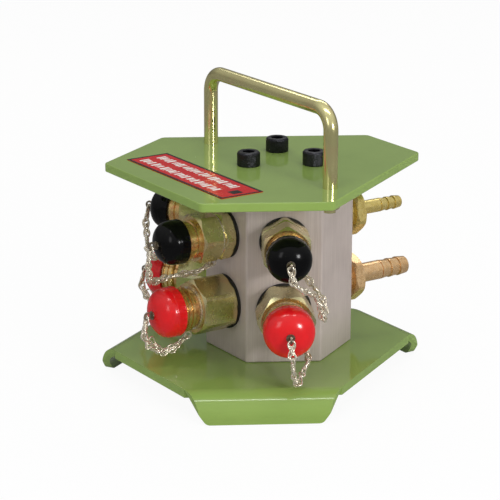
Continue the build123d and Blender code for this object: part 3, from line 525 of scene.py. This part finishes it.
def grid_quads(rows: int, columns: int) -> np.ndarray:
    """The faces of a grid that closes on itself both ways, as on a ring.

    Args:
        rows: points along the first parameter.
        columns: points along the second.

    Returns:
        Four vertex numbers for each face.
    """
    row, column = np.meshgrid(np.arange(rows), np.arange(columns), indexing="ij")
    after, beside = (row + 1) % rows, (column + 1) % columns
    corners = np.stack((row * columns + column, row * columns + beside, after * columns + beside,
                        after * columns + column), axis=-1)
    return corners.reshape(-1, 4)


def outward(points: np.ndarray, quads: np.ndarray) -> np.ndarray:
    """Faces that point out of a closed surface: the signed volume under them comes out positive.

    Args:
        points: vertices of one closed surface.
        quads: its faces.

    Returns:
        The faces, turned over if the volume was negative.
    """
    a, b, c, d = (points[quads[:, number]] for number in range(4))
    volume = np.einsum("ij,ij->", a, np.cross(b, c)) + np.einsum("ij,ij->", a, np.cross(c, d))
    return quads if volume > 0 else quads[:, ::-1]


def copies(points: np.ndarray, quads: np.ndarray, count: int) -> np.ndarray:
    """The faces of several copies of one surface, whose vertices follow each other."""
    shift = np.arange(count)[:, None, None] * len(points)
    return (quads[None] + shift).reshape(-1, 4)


def add_piece(name: str, points: np.ndarray, quads: np.ndarray, material: bpy.types.Material,
              slot: str, smooth: bool = True) -> bpy.types.Object:
    """Put a surface into the scene as an object at the origin.

    Args:
        name: the piece's name.
        points: vertices in the frame.
        quads: faces.
        material: its finish.
        slot: the record's slot that the finish belongs to; not used.
        smooth: whether faces that meet at a small angle are shaded as one.

    Returns:
        The new object.
    """
    mesh = bpy.data.meshes.new(name)
    mesh.from_pydata(points.reshape(-1, 3).tolist(), [], quads.tolist())
    mesh.materials.append(material)
    if smooth:
        mesh.shade_smooth()
        mesh.set_sharp_from_angle(angle=SHARP_ANGLE)
    mesh.update()
    piece = put(name, mesh)
    LOG.info("%s: %d vertices, %d faces", name, len(mesh.vertices), len(mesh.polygons))
    return piece


@dataclass(frozen=True)
class Port:
    """One port of the block, with its own axes: right along the face, up, and out of the face.

    Attributes:
        origin: the point on the block's face.
        out: unit vector out of the face.
    """

    origin: np.ndarray
    out: np.ndarray

    @classmethod
    def under(cls, face: Face, kind: CapKind) -> "Port":
        """The port of one coupler.

        Args:
            face: the face of the block.
            kind: red for the lower socket, black for the upper plug.

        Returns:
            The port, from the record's mount and the block's box.
        """
        name = f"{face.value}_{kind.mount}"
        mount = next(row for row in frame["record"]["mounts"] if row["name"] == name)
        out = np.array(mount["axis"])
        axis = np.array((*plan_middle("manifold_block"), mount["pos_m"][2]))
        return cls(axis + out * BLOCK_ACROSS_FLATS / 2, out)

    def place(self, local: np.ndarray) -> np.ndarray:
        """Points given along right, up and out, brought into the frame.

        Args:
            local: points in the port's own axes.

        Returns:
            The same points in the frame.
        """
        right = np.array((-self.out[1], self.out[0], 0.0))
        axes = np.stack((right, np.array((0.0, 0.0, 1.0)), self.out))
        return self.origin + local @ axes


def spun(profile: np.ndarray, steps: int, swell: np.ndarray | None = None) -> np.ndarray:
    """A closed profile of (radius, height) carried round the local Z axis.

    Formula: x = r cos a, y = r sin a, z = height, where r is the profile's radius plus the swell.

    Args:
        profile: the closed outline, one row for each point.
        steps: points round the axis.
        swell: change of radius for each profile point and angle.

    Returns:
        The grid of points.
    """
    angle = np.linspace(0, 2 * math.pi, steps, endpoint=False)
    radius = np.repeat(profile[:, :1], steps, axis=1)
    if swell is not None:
        radius = radius + swell
    height = np.repeat(profile[:, 1:], steps, axis=1)
    return np.stack((radius * np.cos(angle), radius * np.sin(angle), height), axis=-1)


def bend(centre: tuple[float, float], radius: float, start: float, end: float) -> np.ndarray:
    """Points along an arc of a profile, in degrees from the radial direction."""
    angle = np.radians(np.linspace(start, end, ARC_POINTS))
    return np.stack((centre[0] + radius * np.cos(angle), centre[1] + radius * np.sin(angle)), axis=-1)


@dataclass(frozen=True)
class DustCap:
    """A moulded dust cap: a cup with a domed end, a soft lip, a drafted side and grip ribs.

    Attributes:
        kind: which cap.
        radius: outside radius at the rim.
        bore: inside radius.
        start: how far the rim stands off the block's face.
        end: how far the closed end stands off it.
        wall: thickness of the closed end.
        dome: height of the domed end.
        fullness: how square the dome is; 2 is an ellipse.
        hollow: how far below the closed end its hollow starts to close.
        floor: how far above the rim the straight bore starts.
        lip: radius of the rim's rounding.
        draft: how much narrower the side gets from rim to end.
        easing: the short step between the side and the dome.
        hole: radius of the vent hole in the middle of the end.
        ribs: number of grip ribs.
        rib_length: their length from the rim.
        rib_onset: a rib is full after this part of its length, counted as one in so many.
        rib_depth: how far r dips beside a rib's flank.
        valley: where the cosine of the ribs is cut off.
        steps: points round the cap.
        side_steps: points along the side.
        dome_steps: points along the dome.
        crowding: power by which they crowd towards its middle.
    """

    kind: CapKind
    radius: float
    bore: float
    start: float
    end: float
    wall: float = 2.0 * MM
    dome: float = 11.5 * MM
    fullness: float = 2.1
    hollow: float = 9.0 * MM
    floor: float = 6.0 * MM
    lip: float = 0.55 * MM
    draft: float = 0.25 * MM
    easing: float = 0.2 * MM
    hole: float = 1.55 * MM
    ribs: int = 24
    rib_length: float = 7.0 * MM
    rib_onset: int = 6
    rib_depth: float = 0.28 * MM
    valley: float = -0.2
    steps: int = 288
    side_steps: int = 16
    dome_steps: int = 44
    crowding: float = 1.3

    def dome_curve(self, radius: float, base: float, rise: float, share: np.ndarray) -> np.ndarray:
        """A quarter of a superellipse, cut off at the vent hole.

        Formula: r = radius cos(t)^(2/n), height = base + rise sin(t)^(2/n), where n is the fullness.

        Args:
            radius: at the foot of the dome.
            base: height of its foot.
            rise: height of the full dome over its foot.
            share: how far towards the hole each point lies, 0 to 1.

        Returns:
            Points as radius and height.
        """
        power = 2 / self.fullness
        turn = math.acos((self.hole / radius) ** (1 / power)) * share
        return np.stack((radius * np.cos(turn) ** power, base + rise * np.sin(turn) ** power), axis=-1)

    def outline(self) -> np.ndarray:
        """The closed profile: lip, drafted side, dome, hole, hollow and bore."""
        lip_height = self.start + self.lip
        lip = np.vstack((bend((self.bore + self.lip, lip_height), self.lip, 180, 270),
                         bend((self.radius - self.lip, lip_height), self.lip, 270, 360)))
        height = np.linspace(self.start + 2 * self.lip, self.end - self.dome - self.easing,
                             self.side_steps)
        share = (height - self.start) / (self.end - self.start)
        wall = np.stack((self.radius - self.draft * share, height), axis=-1)
        share = 1 - (1 - np.linspace(0, 1, self.dome_steps)) ** self.crowding
        crown = self.dome_curve(self.radius - self.draft, self.end - self.dome, self.dome, share)
        inside = self.dome_curve(self.bore, self.end - self.hollow, self.hollow - self.wall,
                                 share[::-4])
        return np.vstack((lip, wall, crown, inside, ((self.bore, self.start + self.floor),)))

    def build(self, face: Face, finishes: FinishSet) -> bpy.types.Object:
        """Make the cap and set it in place of the plain one.

        Between the ribs r dips by depth (1 - cos), cut off in the valleys and faded out along the cup.

        Args:
            face: the face of the block.
            finishes: the finishes.

        Returns:
            The cap.
        """
        profile = self.outline()
        angle = np.linspace(0, 2 * math.pi, self.steps, endpoint=False)
        along = (profile[:, 1] - self.start) / self.rib_length
        fade = np.where(along < 1, 0.5 + 0.5 * np.cos(math.pi * np.clip(along, 0, 1)), 0)
        on_side = profile[:, 0] > self.radius - 2 * self.draft
        fade = fade * on_side * np.clip(along * self.rib_onset, 0, 1)
        crest = np.clip(np.cos(self.ribs * angle), self.valley, 1)
        swell = -self.rib_depth * fade[:, None] * (1 - crest)[None, :]
        port = Port.under(face, self.kind)
        points = port.place(spun(profile, self.steps, swell)).reshape(-1, 3)
        quads = outward(points - port.origin, grid_quads(len(profile), self.steps))
        name = f"{face.value}_{self.kind.value}_cap"
        slot = f"{self.kind.value}_cap_pvc"
        piece = add_piece(f"{name}_moulded", points, quads, finishes.made[slot], slot)
        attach(piece, f"{name}_body")
        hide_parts(name)
        return piece


@dataclass(frozen=True)
class KnottedChain:
    """A chain of knotted wire links: each has a long loop towards the cap and a short one, with turns
    of the wire wound between them.

    Attributes:
        wire: wire radius.
        reach: half the length of a link's centre line.
        width: half the width of the long loop.
        small: half the width of the short loop.
        waist: how far the wound turns lie from the middle, as a share of the reach.
        cross: how far apart the two strands pass at the turns.
        knot: radius of the wound turns.
        turns: where the wound turns lie about the waist, in steps of pitch.
        pitch: distance for one step, as a number of wire radii.
        wound: radius of the wire at the turns, as a share of the wire's.
        longest: no link of the CAD chain is longer than this.
        path_steps: points along the wire of a link.
        turn_steps: points along a wound turn.
        ring_steps: points round the wire.
    """

    wire: float = 0.55 * MM
    reach: float = 6.35 * MM
    width: float = 2.35 * MM
    small: float = 2.0 * MM
    waist: float = 0.26
    cross: float = 0.4 * MM
    knot: float = 1.1 * MM
    turns: Triple = (-0.9, 0.0, 0.9)
    pitch: float = 1.9
    wound: float = 0.95
    longest: float = 16 * MM
    path_steps: int = 56
    turn_steps: int = 20
    ring_steps: int = 10

    def tube(self, path: np.ndarray, ahead: np.ndarray, normal: np.ndarray,
             radius: float) -> np.ndarray:
        """A round wire along a closed path.

        Formula: point = path + radius (cos b · normal + sin b · (ahead x normal)).

        Args:
            path: centre line.
            ahead: unit direction of travel at each point.
            normal: unit vector square to it.
            radius: wire radius.

        Returns:
            The grid of points.
        """
        angle = np.linspace(0, 2 * math.pi, self.ring_steps, endpoint=False)[None, :, None]
        side = np.cross(ahead, normal)
        ring = np.cos(angle) * normal[:, None] + np.sin(angle) * side[:, None]
        return path[:, None] + radius * ring

    def link(self) -> tuple[np.ndarray, np.ndarray]:
        """One link about the origin, long axis X and flat in XY.

        The wire's centre line: x goes from the waist to each end as a cosine, y = width sin 2t on the
        long loop and small sin 2t on the short one, z = cross sin t. A wound turn is a ring about X.

        Returns:
            Its points and its faces.
        """
        t = np.linspace(0, 2 * math.pi, self.path_steps, endpoint=False)
        waist = -self.waist * self.reach
        long_side = np.cos(t) > 0
        span = np.where(long_side, self.reach - waist, self.reach + waist)
        half = np.where(long_side, self.width, self.small)
        path = np.stack((waist + span * np.cos(t), half * np.sin(2 * t), self.cross * np.sin(t)),
                        axis=-1)
        ahead = np.roll(path, -1, axis=0) - np.roll(path, 1, axis=0)
        ahead /= np.linalg.norm(ahead, axis=1, keepdims=True)
        up = np.array((0.0, 0.0, 1.0)) - ahead * ahead[:, 2:]
        up /= np.linalg.norm(up, axis=1, keepdims=True)
        parts = [self.tube(path, ahead, up, self.wire)]
        a = np.linspace(0, 2 * math.pi, self.turn_steps, endpoint=False)
        out = np.stack((np.zeros_like(a), np.cos(a), np.sin(a)), axis=-1)
        along = np.stack((np.zeros_like(a), -np.sin(a), np.cos(a)), axis=-1)
        for turn in self.turns:
            ring = self.knot * out + np.array((waist + turn * self.wire * self.pitch, 0.0, 0.0))
            parts.append(self.tube(ring, along, out, self.wire * self.wound))
        points, quads, start = [], [], 0
        for part in parts:
            flat = part.reshape(-1, 3)
            quads.append(outward(flat, grid_quads(*part.shape[:2])) + start)
            points.append(flat)
            start += len(flat)
        return np.vstack(points), np.vstack(quads)

    def frames(self, node: str) -> tuple[np.ndarray, np.ndarray]:
        """Centre and axes of each link of a chain in the frame, from the main axes of its corners.

        The links are alike, so their number is the first that cuts the corners into short groups. A
        link's centre is the mean of its corners where all agree with the middle of their boxes.

        Args:
            node: the chain's node.

        Returns:
            Centres, and for each link the unit vectors along it, across it and off its flat.
        """
        corners = corners_of(frame["nodes"][node].data)
        for count in range(3, 20):
            if len(corners) % count:
                continue
            links = corners.reshape(count, -1, 3)
            spread = links.max(axis=1) - links.min(axis=1)
            if np.linalg.norm(spread, axis=1).max() < self.longest:
                break
        centre, mean = (links.max(axis=1) + links.min(axis=1)) / 2, links.mean(axis=1)
        centre = mean if np.allclose(mean, centre, atol=0.2 * MM) else centre
        _, _, axes = np.linalg.svd(links - centre[:, None], full_matrices=False)
        eye = sum(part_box(node.replace("chain", "cap_eye")), Vector()) / 2
        if np.linalg.norm(centre[0] - eye) > np.linalg.norm(centre[-1] - eye):
            centre, axes = centre[::-1], axes[::-1]
        before = np.vstack((np.array(eye), centre[:-1])) - centre
        axes[:, 0] *= np.sign(np.einsum("ij,ij->i", axes[:, 0], before))[:, None]
        axes[:, 2] = np.cross(axes[:, 0], axes[:, 1])
        return centre, axes

    def build(self, face: Face, kind: CapKind, finishes: FinishSet) -> bpy.types.Object:
        """Hang the chain of one cap between the ring on the neck and the cap's eye.

        Args:
            face: the face of the block.
            kind: which cap.
            finishes: the finishes.

        Returns:
            The chain.
        """
        name = f"{face.value}_{kind.value}"
        centre, axes = self.frames(f"{name}_chain")
        points, quads = self.link()
        placed = centre[:, None] + np.einsum("pi,nij->npj", points, axes)
        piece = add_piece(f"{name}_knotted_chain", placed, copies(points, quads, len(centre)),
                          finishes.made["nickel_chain"], "nickel_chain")
        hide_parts(f"{name}_chain")
        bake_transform(piece)
        return piece


class CoilSprings:
    """The springs, drawn over their joints; for each the cap over it and the part that moves it."""

    MOVED = {"sleeve_spring": (CapKind.RED, "sleeve"),
             "socket_valve_spring": (CapKind.RED, "socket_valve"),
             "plug_valve_spring": (CapKind.BLACK, "plug_valve")}

    def build(self, face: Face, finishes: FinishSet) -> None:
        """Set steel-finished copies of the springs of one face in place of the frame's own.

        Args:
            face: the face of the block.
            finishes: the finishes.
        """
        for spring, (kind, moved) in self.MOVED.items():
            node = f"{face.value}_{spring}"
            port = Port.under(face, kind)
            mesh = frame["nodes"][node].data.copy()
            mesh.name = f"{node}_coil"
            mesh.materials.clear()
            mesh.materials.append(finishes.made["plain_steel"])
            along = (corners_of(mesh) - port.origin) @ port.out
            piece = put(mesh.name, mesh)
            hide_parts(node)
            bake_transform(piece)
            LOG.info("%s: %d vertices, %d faces", piece.name, len(mesh.vertices), len(mesh.polygons))


@dataclass(frozen=True)
class CapScrews:
    """The three socket head screws on the top plate: knurled head, turned chamfer and hexagon socket.

    Attributes:
        circle: radius of the circle that they stand on.
        radius: head radius.
        height: head height.
        socket: across flats of the hexagon socket.
        depth: its depth.
        shank: radius of the shank.
        grip: length below the plate's top.
        knurls: number of ridges round the head.
        knurl_depth: their depth.
        steps: points round the screw.
        bore: radius of the hair-thin bore that closes the surface.
        chamfer: width and height of the head's upper edge, where the knurl has ended.
    """

    circle: float = 26.2 * MM
    radius: float = 8.0 * MM
    height: float = 10.0 * MM
    socket: float = 8.0 * MM
    depth: float = 5.0 * MM
    shank: float = 4.9 * MM
    grip: float = 22.0 * MM
    knurls: int = 60
    knurl_depth: float = 0.16 * MM
    steps: int = 360
    bore: float = 0.02 * MM
    chamfer: tuple[float, float] = (1.1 * MM, 1.0 * MM)

    def head(self) -> tuple[np.ndarray, np.ndarray]:
        """One screw about the Z axis with its head's seat at Z = 0.

        Round the head r dips by a knurl of triangle waves; in the socket r follows the hexagon, half
        the width across flats over the cosine of the angle to the nearest flat's middle.

        Returns:
            Points and faces; the last row meets the first through a hair-thin bore, so it is closed.
        """
        angle = np.linspace(0, 2 * math.pi, self.steps, endpoint=False)
        wave = np.abs(2 * ((angle * self.knurls / (2 * math.pi)) % 1) - 1)
        knurl = self.knurl_depth * wave
        sector = (angle + math.pi / 6) % (math.pi / 3) - math.pi / 6
        flat = self.socket / 2 / np.cos(sector)
        one = np.ones_like(angle)
        r, h = self.radius, self.height
        wide, tall = self.chamfer
        rings = [
            (self.bore * one, -self.grip), (self.shank * one, -self.grip), (self.shank * one, 0.0),
            ((r - 0.5 * MM) * one, 0.0), ((r - 0.1 * MM) * one, 0.35 * MM), (r - knurl, 0.8 * MM),
            (r - knurl, h - 1.5 * MM), ((r - 0.12 * MM) * one, h - tall),
            ((r - 0.9 * MM) * one, h - 0.1 * MM), ((r - wide) * one, h), (flat + 0.35 * MM, h),
            (flat, h - 0.3 * MM), (flat, h - self.depth),
            (self.bore * one, h - self.depth - 0.6 * MM),
        ]
        radius = np.stack([row[0] for row in rings])
        level = np.array([row[1] for row in rings])[:, None] * one
        grid = np.stack((radius * np.cos(angle), radius * np.sin(angle), level), axis=-1)
        quads = grid_quads(len(rings), self.steps)
        points = grid.reshape(-1, 3)
        return points, outward(points, quads)

    def build(self, finishes: FinishSet) -> bpy.types.Object:
        """Set the screws in place of the plain ones.

        Args:
            finishes: the finishes.

        Returns:
            The three screws as one piece.
        """
        points, quads = self.head()
        x, y = plan_middle("manifold_block")
        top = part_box("top_plate")[1].z
        angle = np.radians(SCREW_ANGLES)
        seats = np.stack((x + self.circle * np.cos(angle), y + self.circle * np.sin(angle),
                          np.full(len(angle), top)), axis=-1)
        placed = points[None] + seats[:, None]
        piece = add_piece("knurled_top_screws", placed, copies(points, quads, len(seats)),
                          finishes.made["blued_screws"], "blued_screws")
        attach(piece, "coupler_block")
        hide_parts("top_plate_screws")
        return piece


@dataclass(frozen=True)
class LabelPrint:
    """The print on the label plate: a black border and two rows of plain white bars for the text.

    Attributes:
        length: of the plate, along the top plate's edge.
        width: of the plate.
        border: width of the black line.
        lift: thickness of the ink.
        box: the small box: its start and end before the plate's end, then its half width.
        margin: free length before the bars.
        rows: for each row of bars its place across the plate and how many bars each group has.
        gap: between the bars of a group, then between groups.
    """

    length: float = 121.5 * MM
    width: float = 32.7 * MM
    border: float = 1.9 * MM
    lift: float = 0.06 * MM
    box: Triple = (12 * MM, 5 * MM, 4 * MM)
    margin: float = 6 * MM
    rows: tuple[tuple[float, tuple[int, ...]], ...] = (
        (-7.0 * MM, (4, 3, 5, 4, 3, 4, 3)), (6.6 * MM, (5, 4, 6, 3, 5, 4)))
    gap: tuple[float, float] = (1.3 * MM, 2.9 * MM)

    def slabs(self, boxes: np.ndarray) -> tuple[np.ndarray, np.ndarray]:
        """Flat slabs on the label.

        Args:
            boxes: for each slab its start and end along the label, then across it.

        Returns:
            Points in the frame and faces.
        """
        middle = np.array((*plan_middle("label_plate"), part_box("label_plate")[1].z))
        along = np.array((-math.sin(PLATE_EDGE_ANGLE), math.cos(PLATE_EDGE_ANGLE), 0.0))
        across = np.array((-along[1], along[0], 0.0))
        pick = np.array([(u, v, level) for level in (0, 1)
                         for u, v in ((0, 2), (1, 2), (1, 3), (0, 3))])
        u, v = boxes[:, pick[:, 0]], boxes[:, pick[:, 1]]
        up = (pick[:, 2] * self.lift)[None, :, None] * np.array((0.0, 0.0, 1.0))
        points = middle + u[..., None] * along + v[..., None] * across + up
        sides = np.array(((3, 2, 1, 0), (4, 5, 6, 7), (0, 1, 5, 4), (1, 2, 6, 5), (2, 3, 7, 6),
                          (3, 0, 4, 7)))
        return points.reshape(-1, 3), copies(points[0], sides, len(boxes))

    def build(self, finishes: FinishSet) -> None:
        """Print the border, the bars and the small box.

        Bar n is 2.0 + 0.8 sin(2.1 n) mm wide and half of it 3.2 + 0.6 cos(1.7 n) mm high.

        Args:
            finishes: the finishes.
        """
        half, deep, line = self.length / 2, self.width / 2, self.border
        before, after, wide = self.box
        border = np.array(((-half, half, -deep, -deep + line), (-half, half, deep - line, deep),
                           (-half, -half + line, -deep + line, deep - line),
                           (half - line, half, -deep + line, deep - line),
                           (half - before, half - after, -wide, wide)))
        bars = []
        for row, groups in self.rows:
            number = np.arange(sum(groups))
            gaps = np.where(np.isin(number, np.cumsum(groups)), self.gap[1], self.gap[0])
            widths = (2.0 + 0.8 * np.sin(number * 2.1)) * MM
            starts = -half + self.margin + np.cumsum(gaps + np.roll(widths, 1)) - widths[-1]
            tall = (3.2 + 0.6 * np.cos(number * 1.7)) * MM
            bars += list(zip(starts, starts + widths, row - tall, row + tall))
        for name, boxes, finish in (("label_border", border, "black_print"),
                                    ("label_bars", np.array(bars), "white_print")):
            piece = add_piece(name, *self.slabs(boxes), finishes.made[finish], "label_print",
                              smooth=False)
            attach(piece, "coupler_block")


@dataclass(frozen=True)
class Lamp:
    """A rectangular soft lamp that looks at the object.

    Attributes:
        name: the lamp's name.
        place: where it hangs.
        size: width and height.
        power: in watts.
    """

    name: str
    place: Triple
    size: tuple[float, float]
    power: float

    def build(self) -> None:
        """Hang the lamp."""
        data = bpy.data.lights.new(self.name, "AREA")
        data.shape = "RECTANGLE"
        data.size, data.size_y = self.size
        data.energy = self.power
        lamp = put(self.name, data)
        lamp.location = self.place
        way = Vector(LAMP_AIM) - Vector(self.place)
        lamp.rotation_euler = way.to_track_quat("-Z", "Y").to_euler()


@dataclass(frozen=True)
class Studio:
    """Floor, light and camera.

    Attributes:
        eye: the camera from the block's axis, with Z from the base plate's top.
        ahead: the way it looks.
        roll: its turn about that way, in degrees.
        lens: focal length in millimetres.
        film: width of the frame in millimetres.
        room: strength of the room's light, low and high up.
        backdrop: how much weaker it is towards the far side.
        seen_floor: how much of the floor's glow the camera sees.
        gloss_floor: how strong that glow is in reflections.
        lamps: the lamps.
    """

    eye: Triple = (-110.9 * MM, -1432.8 * MM, 506.3 * MM)
    ahead: Triple = (0.0601, 0.9546, -0.2919)
    roll: float = 0.18
    lens: float = 153.1
    film: float = 36.0
    room: tuple[float, float] = (0.34, 0.75)
    backdrop: float = 0.22
    seen_floor: float = 0.94
    gloss_floor: float = 0.25
    lamps: tuple[Lamp, ...] = (
        Lamp("key_lamp", (0.85, -1.25, 0.5), (0.28, 0.26), 8.5),
        Lamp("fill_lamp", (-0.9, -1.2, 0.75), (0.4, 0.6), 2.0),
        Lamp("top_lamp", (0.0, -0.45, 1.45), (1.2, 0.12), 5.0),
        Lamp("back_lamp", (0.1, 1.1, 1.2), (1.2, 0.3), 4.0),
    )

    def floor(self) -> None:
        """A wide pale floor with a soft shadow: nearly white to the camera, dim in reflections."""
        half, drop = 9.0, 0.05 * MM
        mesh = bpy.data.meshes.new("studio_floor")
        corners = [(x * half, y * half, -drop) for x, y in ((-1, -1), (1, -1), (1, 1), (-1, 1))]
        mesh.from_pydata(corners, [], [(0, 1, 2, 3)])
        graph = ShaderGraph("floor_white")
        graph.set(Base_Color=linear((238, 238, 238)), Roughness=0.85, Specular_IOR_Level=0.1)
        rays = graph.add("ShaderNodeLightPath").outputs
        glow = graph.add("ShaderNodeEmission", Color=(1, 1, 1, 1))
        strength = graph.join("MULTIPLY_ADD", rays["Is Glossy Ray"], self.gloss_floor - 1, 1.0)
        graph.link(strength, glow.inputs["Strength"])
        share = graph.join("MULTIPLY_ADD", rays["Is Camera Ray"], self.seen_floor,
                           rays["Is Glossy Ray"])
        graph.cross_fade(share, graph.shader.outputs[0], glow.outputs[0], "Material Output")
        mesh.materials.append(graph.material)
        ground = put("studio_floor", mesh)

    def sky(self) -> None:
        """The room: white to the camera; its light grows upwards and wanes towards the far side."""
        world = bpy.data.worlds.new("studio_room")
        bpy.context.scene.world = world
        world.use_nodes = True
        graph = NodeGraph(world.node_tree)
        way = graph.add("ShaderNodeSeparateXYZ")
        graph.link(graph.add("ShaderNodeTexCoord").outputs["Generated"], way.inputs[0])
        rise = graph.spread(way.outputs["Z"], *self.room, start=0.1, end=0.85)
        wane = graph.spread(way.outputs["Y"], 0.0, -self.backdrop, start=0.1, end=0.7)
        light = graph.tree.nodes["Background"]
        light.inputs["Color"].default_value = (1.0, 1.0, 1.0, 1.0)
        graph.link(graph.join("ADD", rise, wane), light.inputs["Strength"])
        white = graph.add("ShaderNodeBackground", Strength=1.0)
        rays = graph.add("ShaderNodeLightPath").outputs
        seen = graph.join("MAXIMUM", rays["Is Camera Ray"], rays["Is Transmission Ray"])
        graph.cross_fade(seen, light.outputs[0], white.outputs[0], "World Output")

    def camera(self) -> None:
        """The camera at the photo's place, no shift."""
        base = Vector((*plan_middle("manifold_block"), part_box("manifold_block")[0].z))
        ahead = Vector(self.ahead).normalized()
        side = ahead.cross(Vector((0, 0, 1))).normalized()
        up = side.cross(ahead)
        turn = math.radians(self.roll)
        right = side * math.cos(turn) + up * math.sin(turn)
        upright = right.cross(ahead)
        data = bpy.data.cameras.new("photo_camera")
        data.lens = self.lens
        data.sensor_width = self.film
        data.clip_end = 50.0
        axes = Matrix((right, upright, -ahead)).transposed().to_4x4()
        camera = put("photo_camera", data)
        camera.matrix_world = Matrix.Translation(base + Vector(self.eye)) @ axes
        bpy.context.scene.camera = camera

    def build(self) -> None:
        """Set up the whole studio."""
        self.floor()
        self.sky()
        for lamp in self.lamps:
            lamp.build()
        self.camera()
        bpy.context.scene.view_settings.view_transform = "Standard"
        LOG.info("studio ready")


def main() -> None:
    """Dress the frame, add the pieces and set up the studio."""
    logging.basicConfig(level=logging.INFO, format="%(name)s: %(message)s")
    finishes = FinishSet()
    finishes.dress_frame()
    caps = (
        DustCap(CapKind.RED, radius=17.6 * MM, bore=15.75 * MM, start=42.0 * MM, end=60.0 * MM),
        DustCap(CapKind.BLACK, radius=15.5 * MM, bore=13.55 * MM, start=37.4 * MM, end=56.0 * MM),
    )
    chain, springs = KnottedChain(), CoilSprings()
    for face in Face:
        for cap in caps:
            cap.build(face, finishes)
            chain.build(face, cap.kind, finishes)
        springs.build(face, finishes)
    CapScrews().build(finishes)
    LabelPrint().build(finishes)
    Studio().build()
    LOG.info("boxes written")


if __name__ == "__main__":
    main()
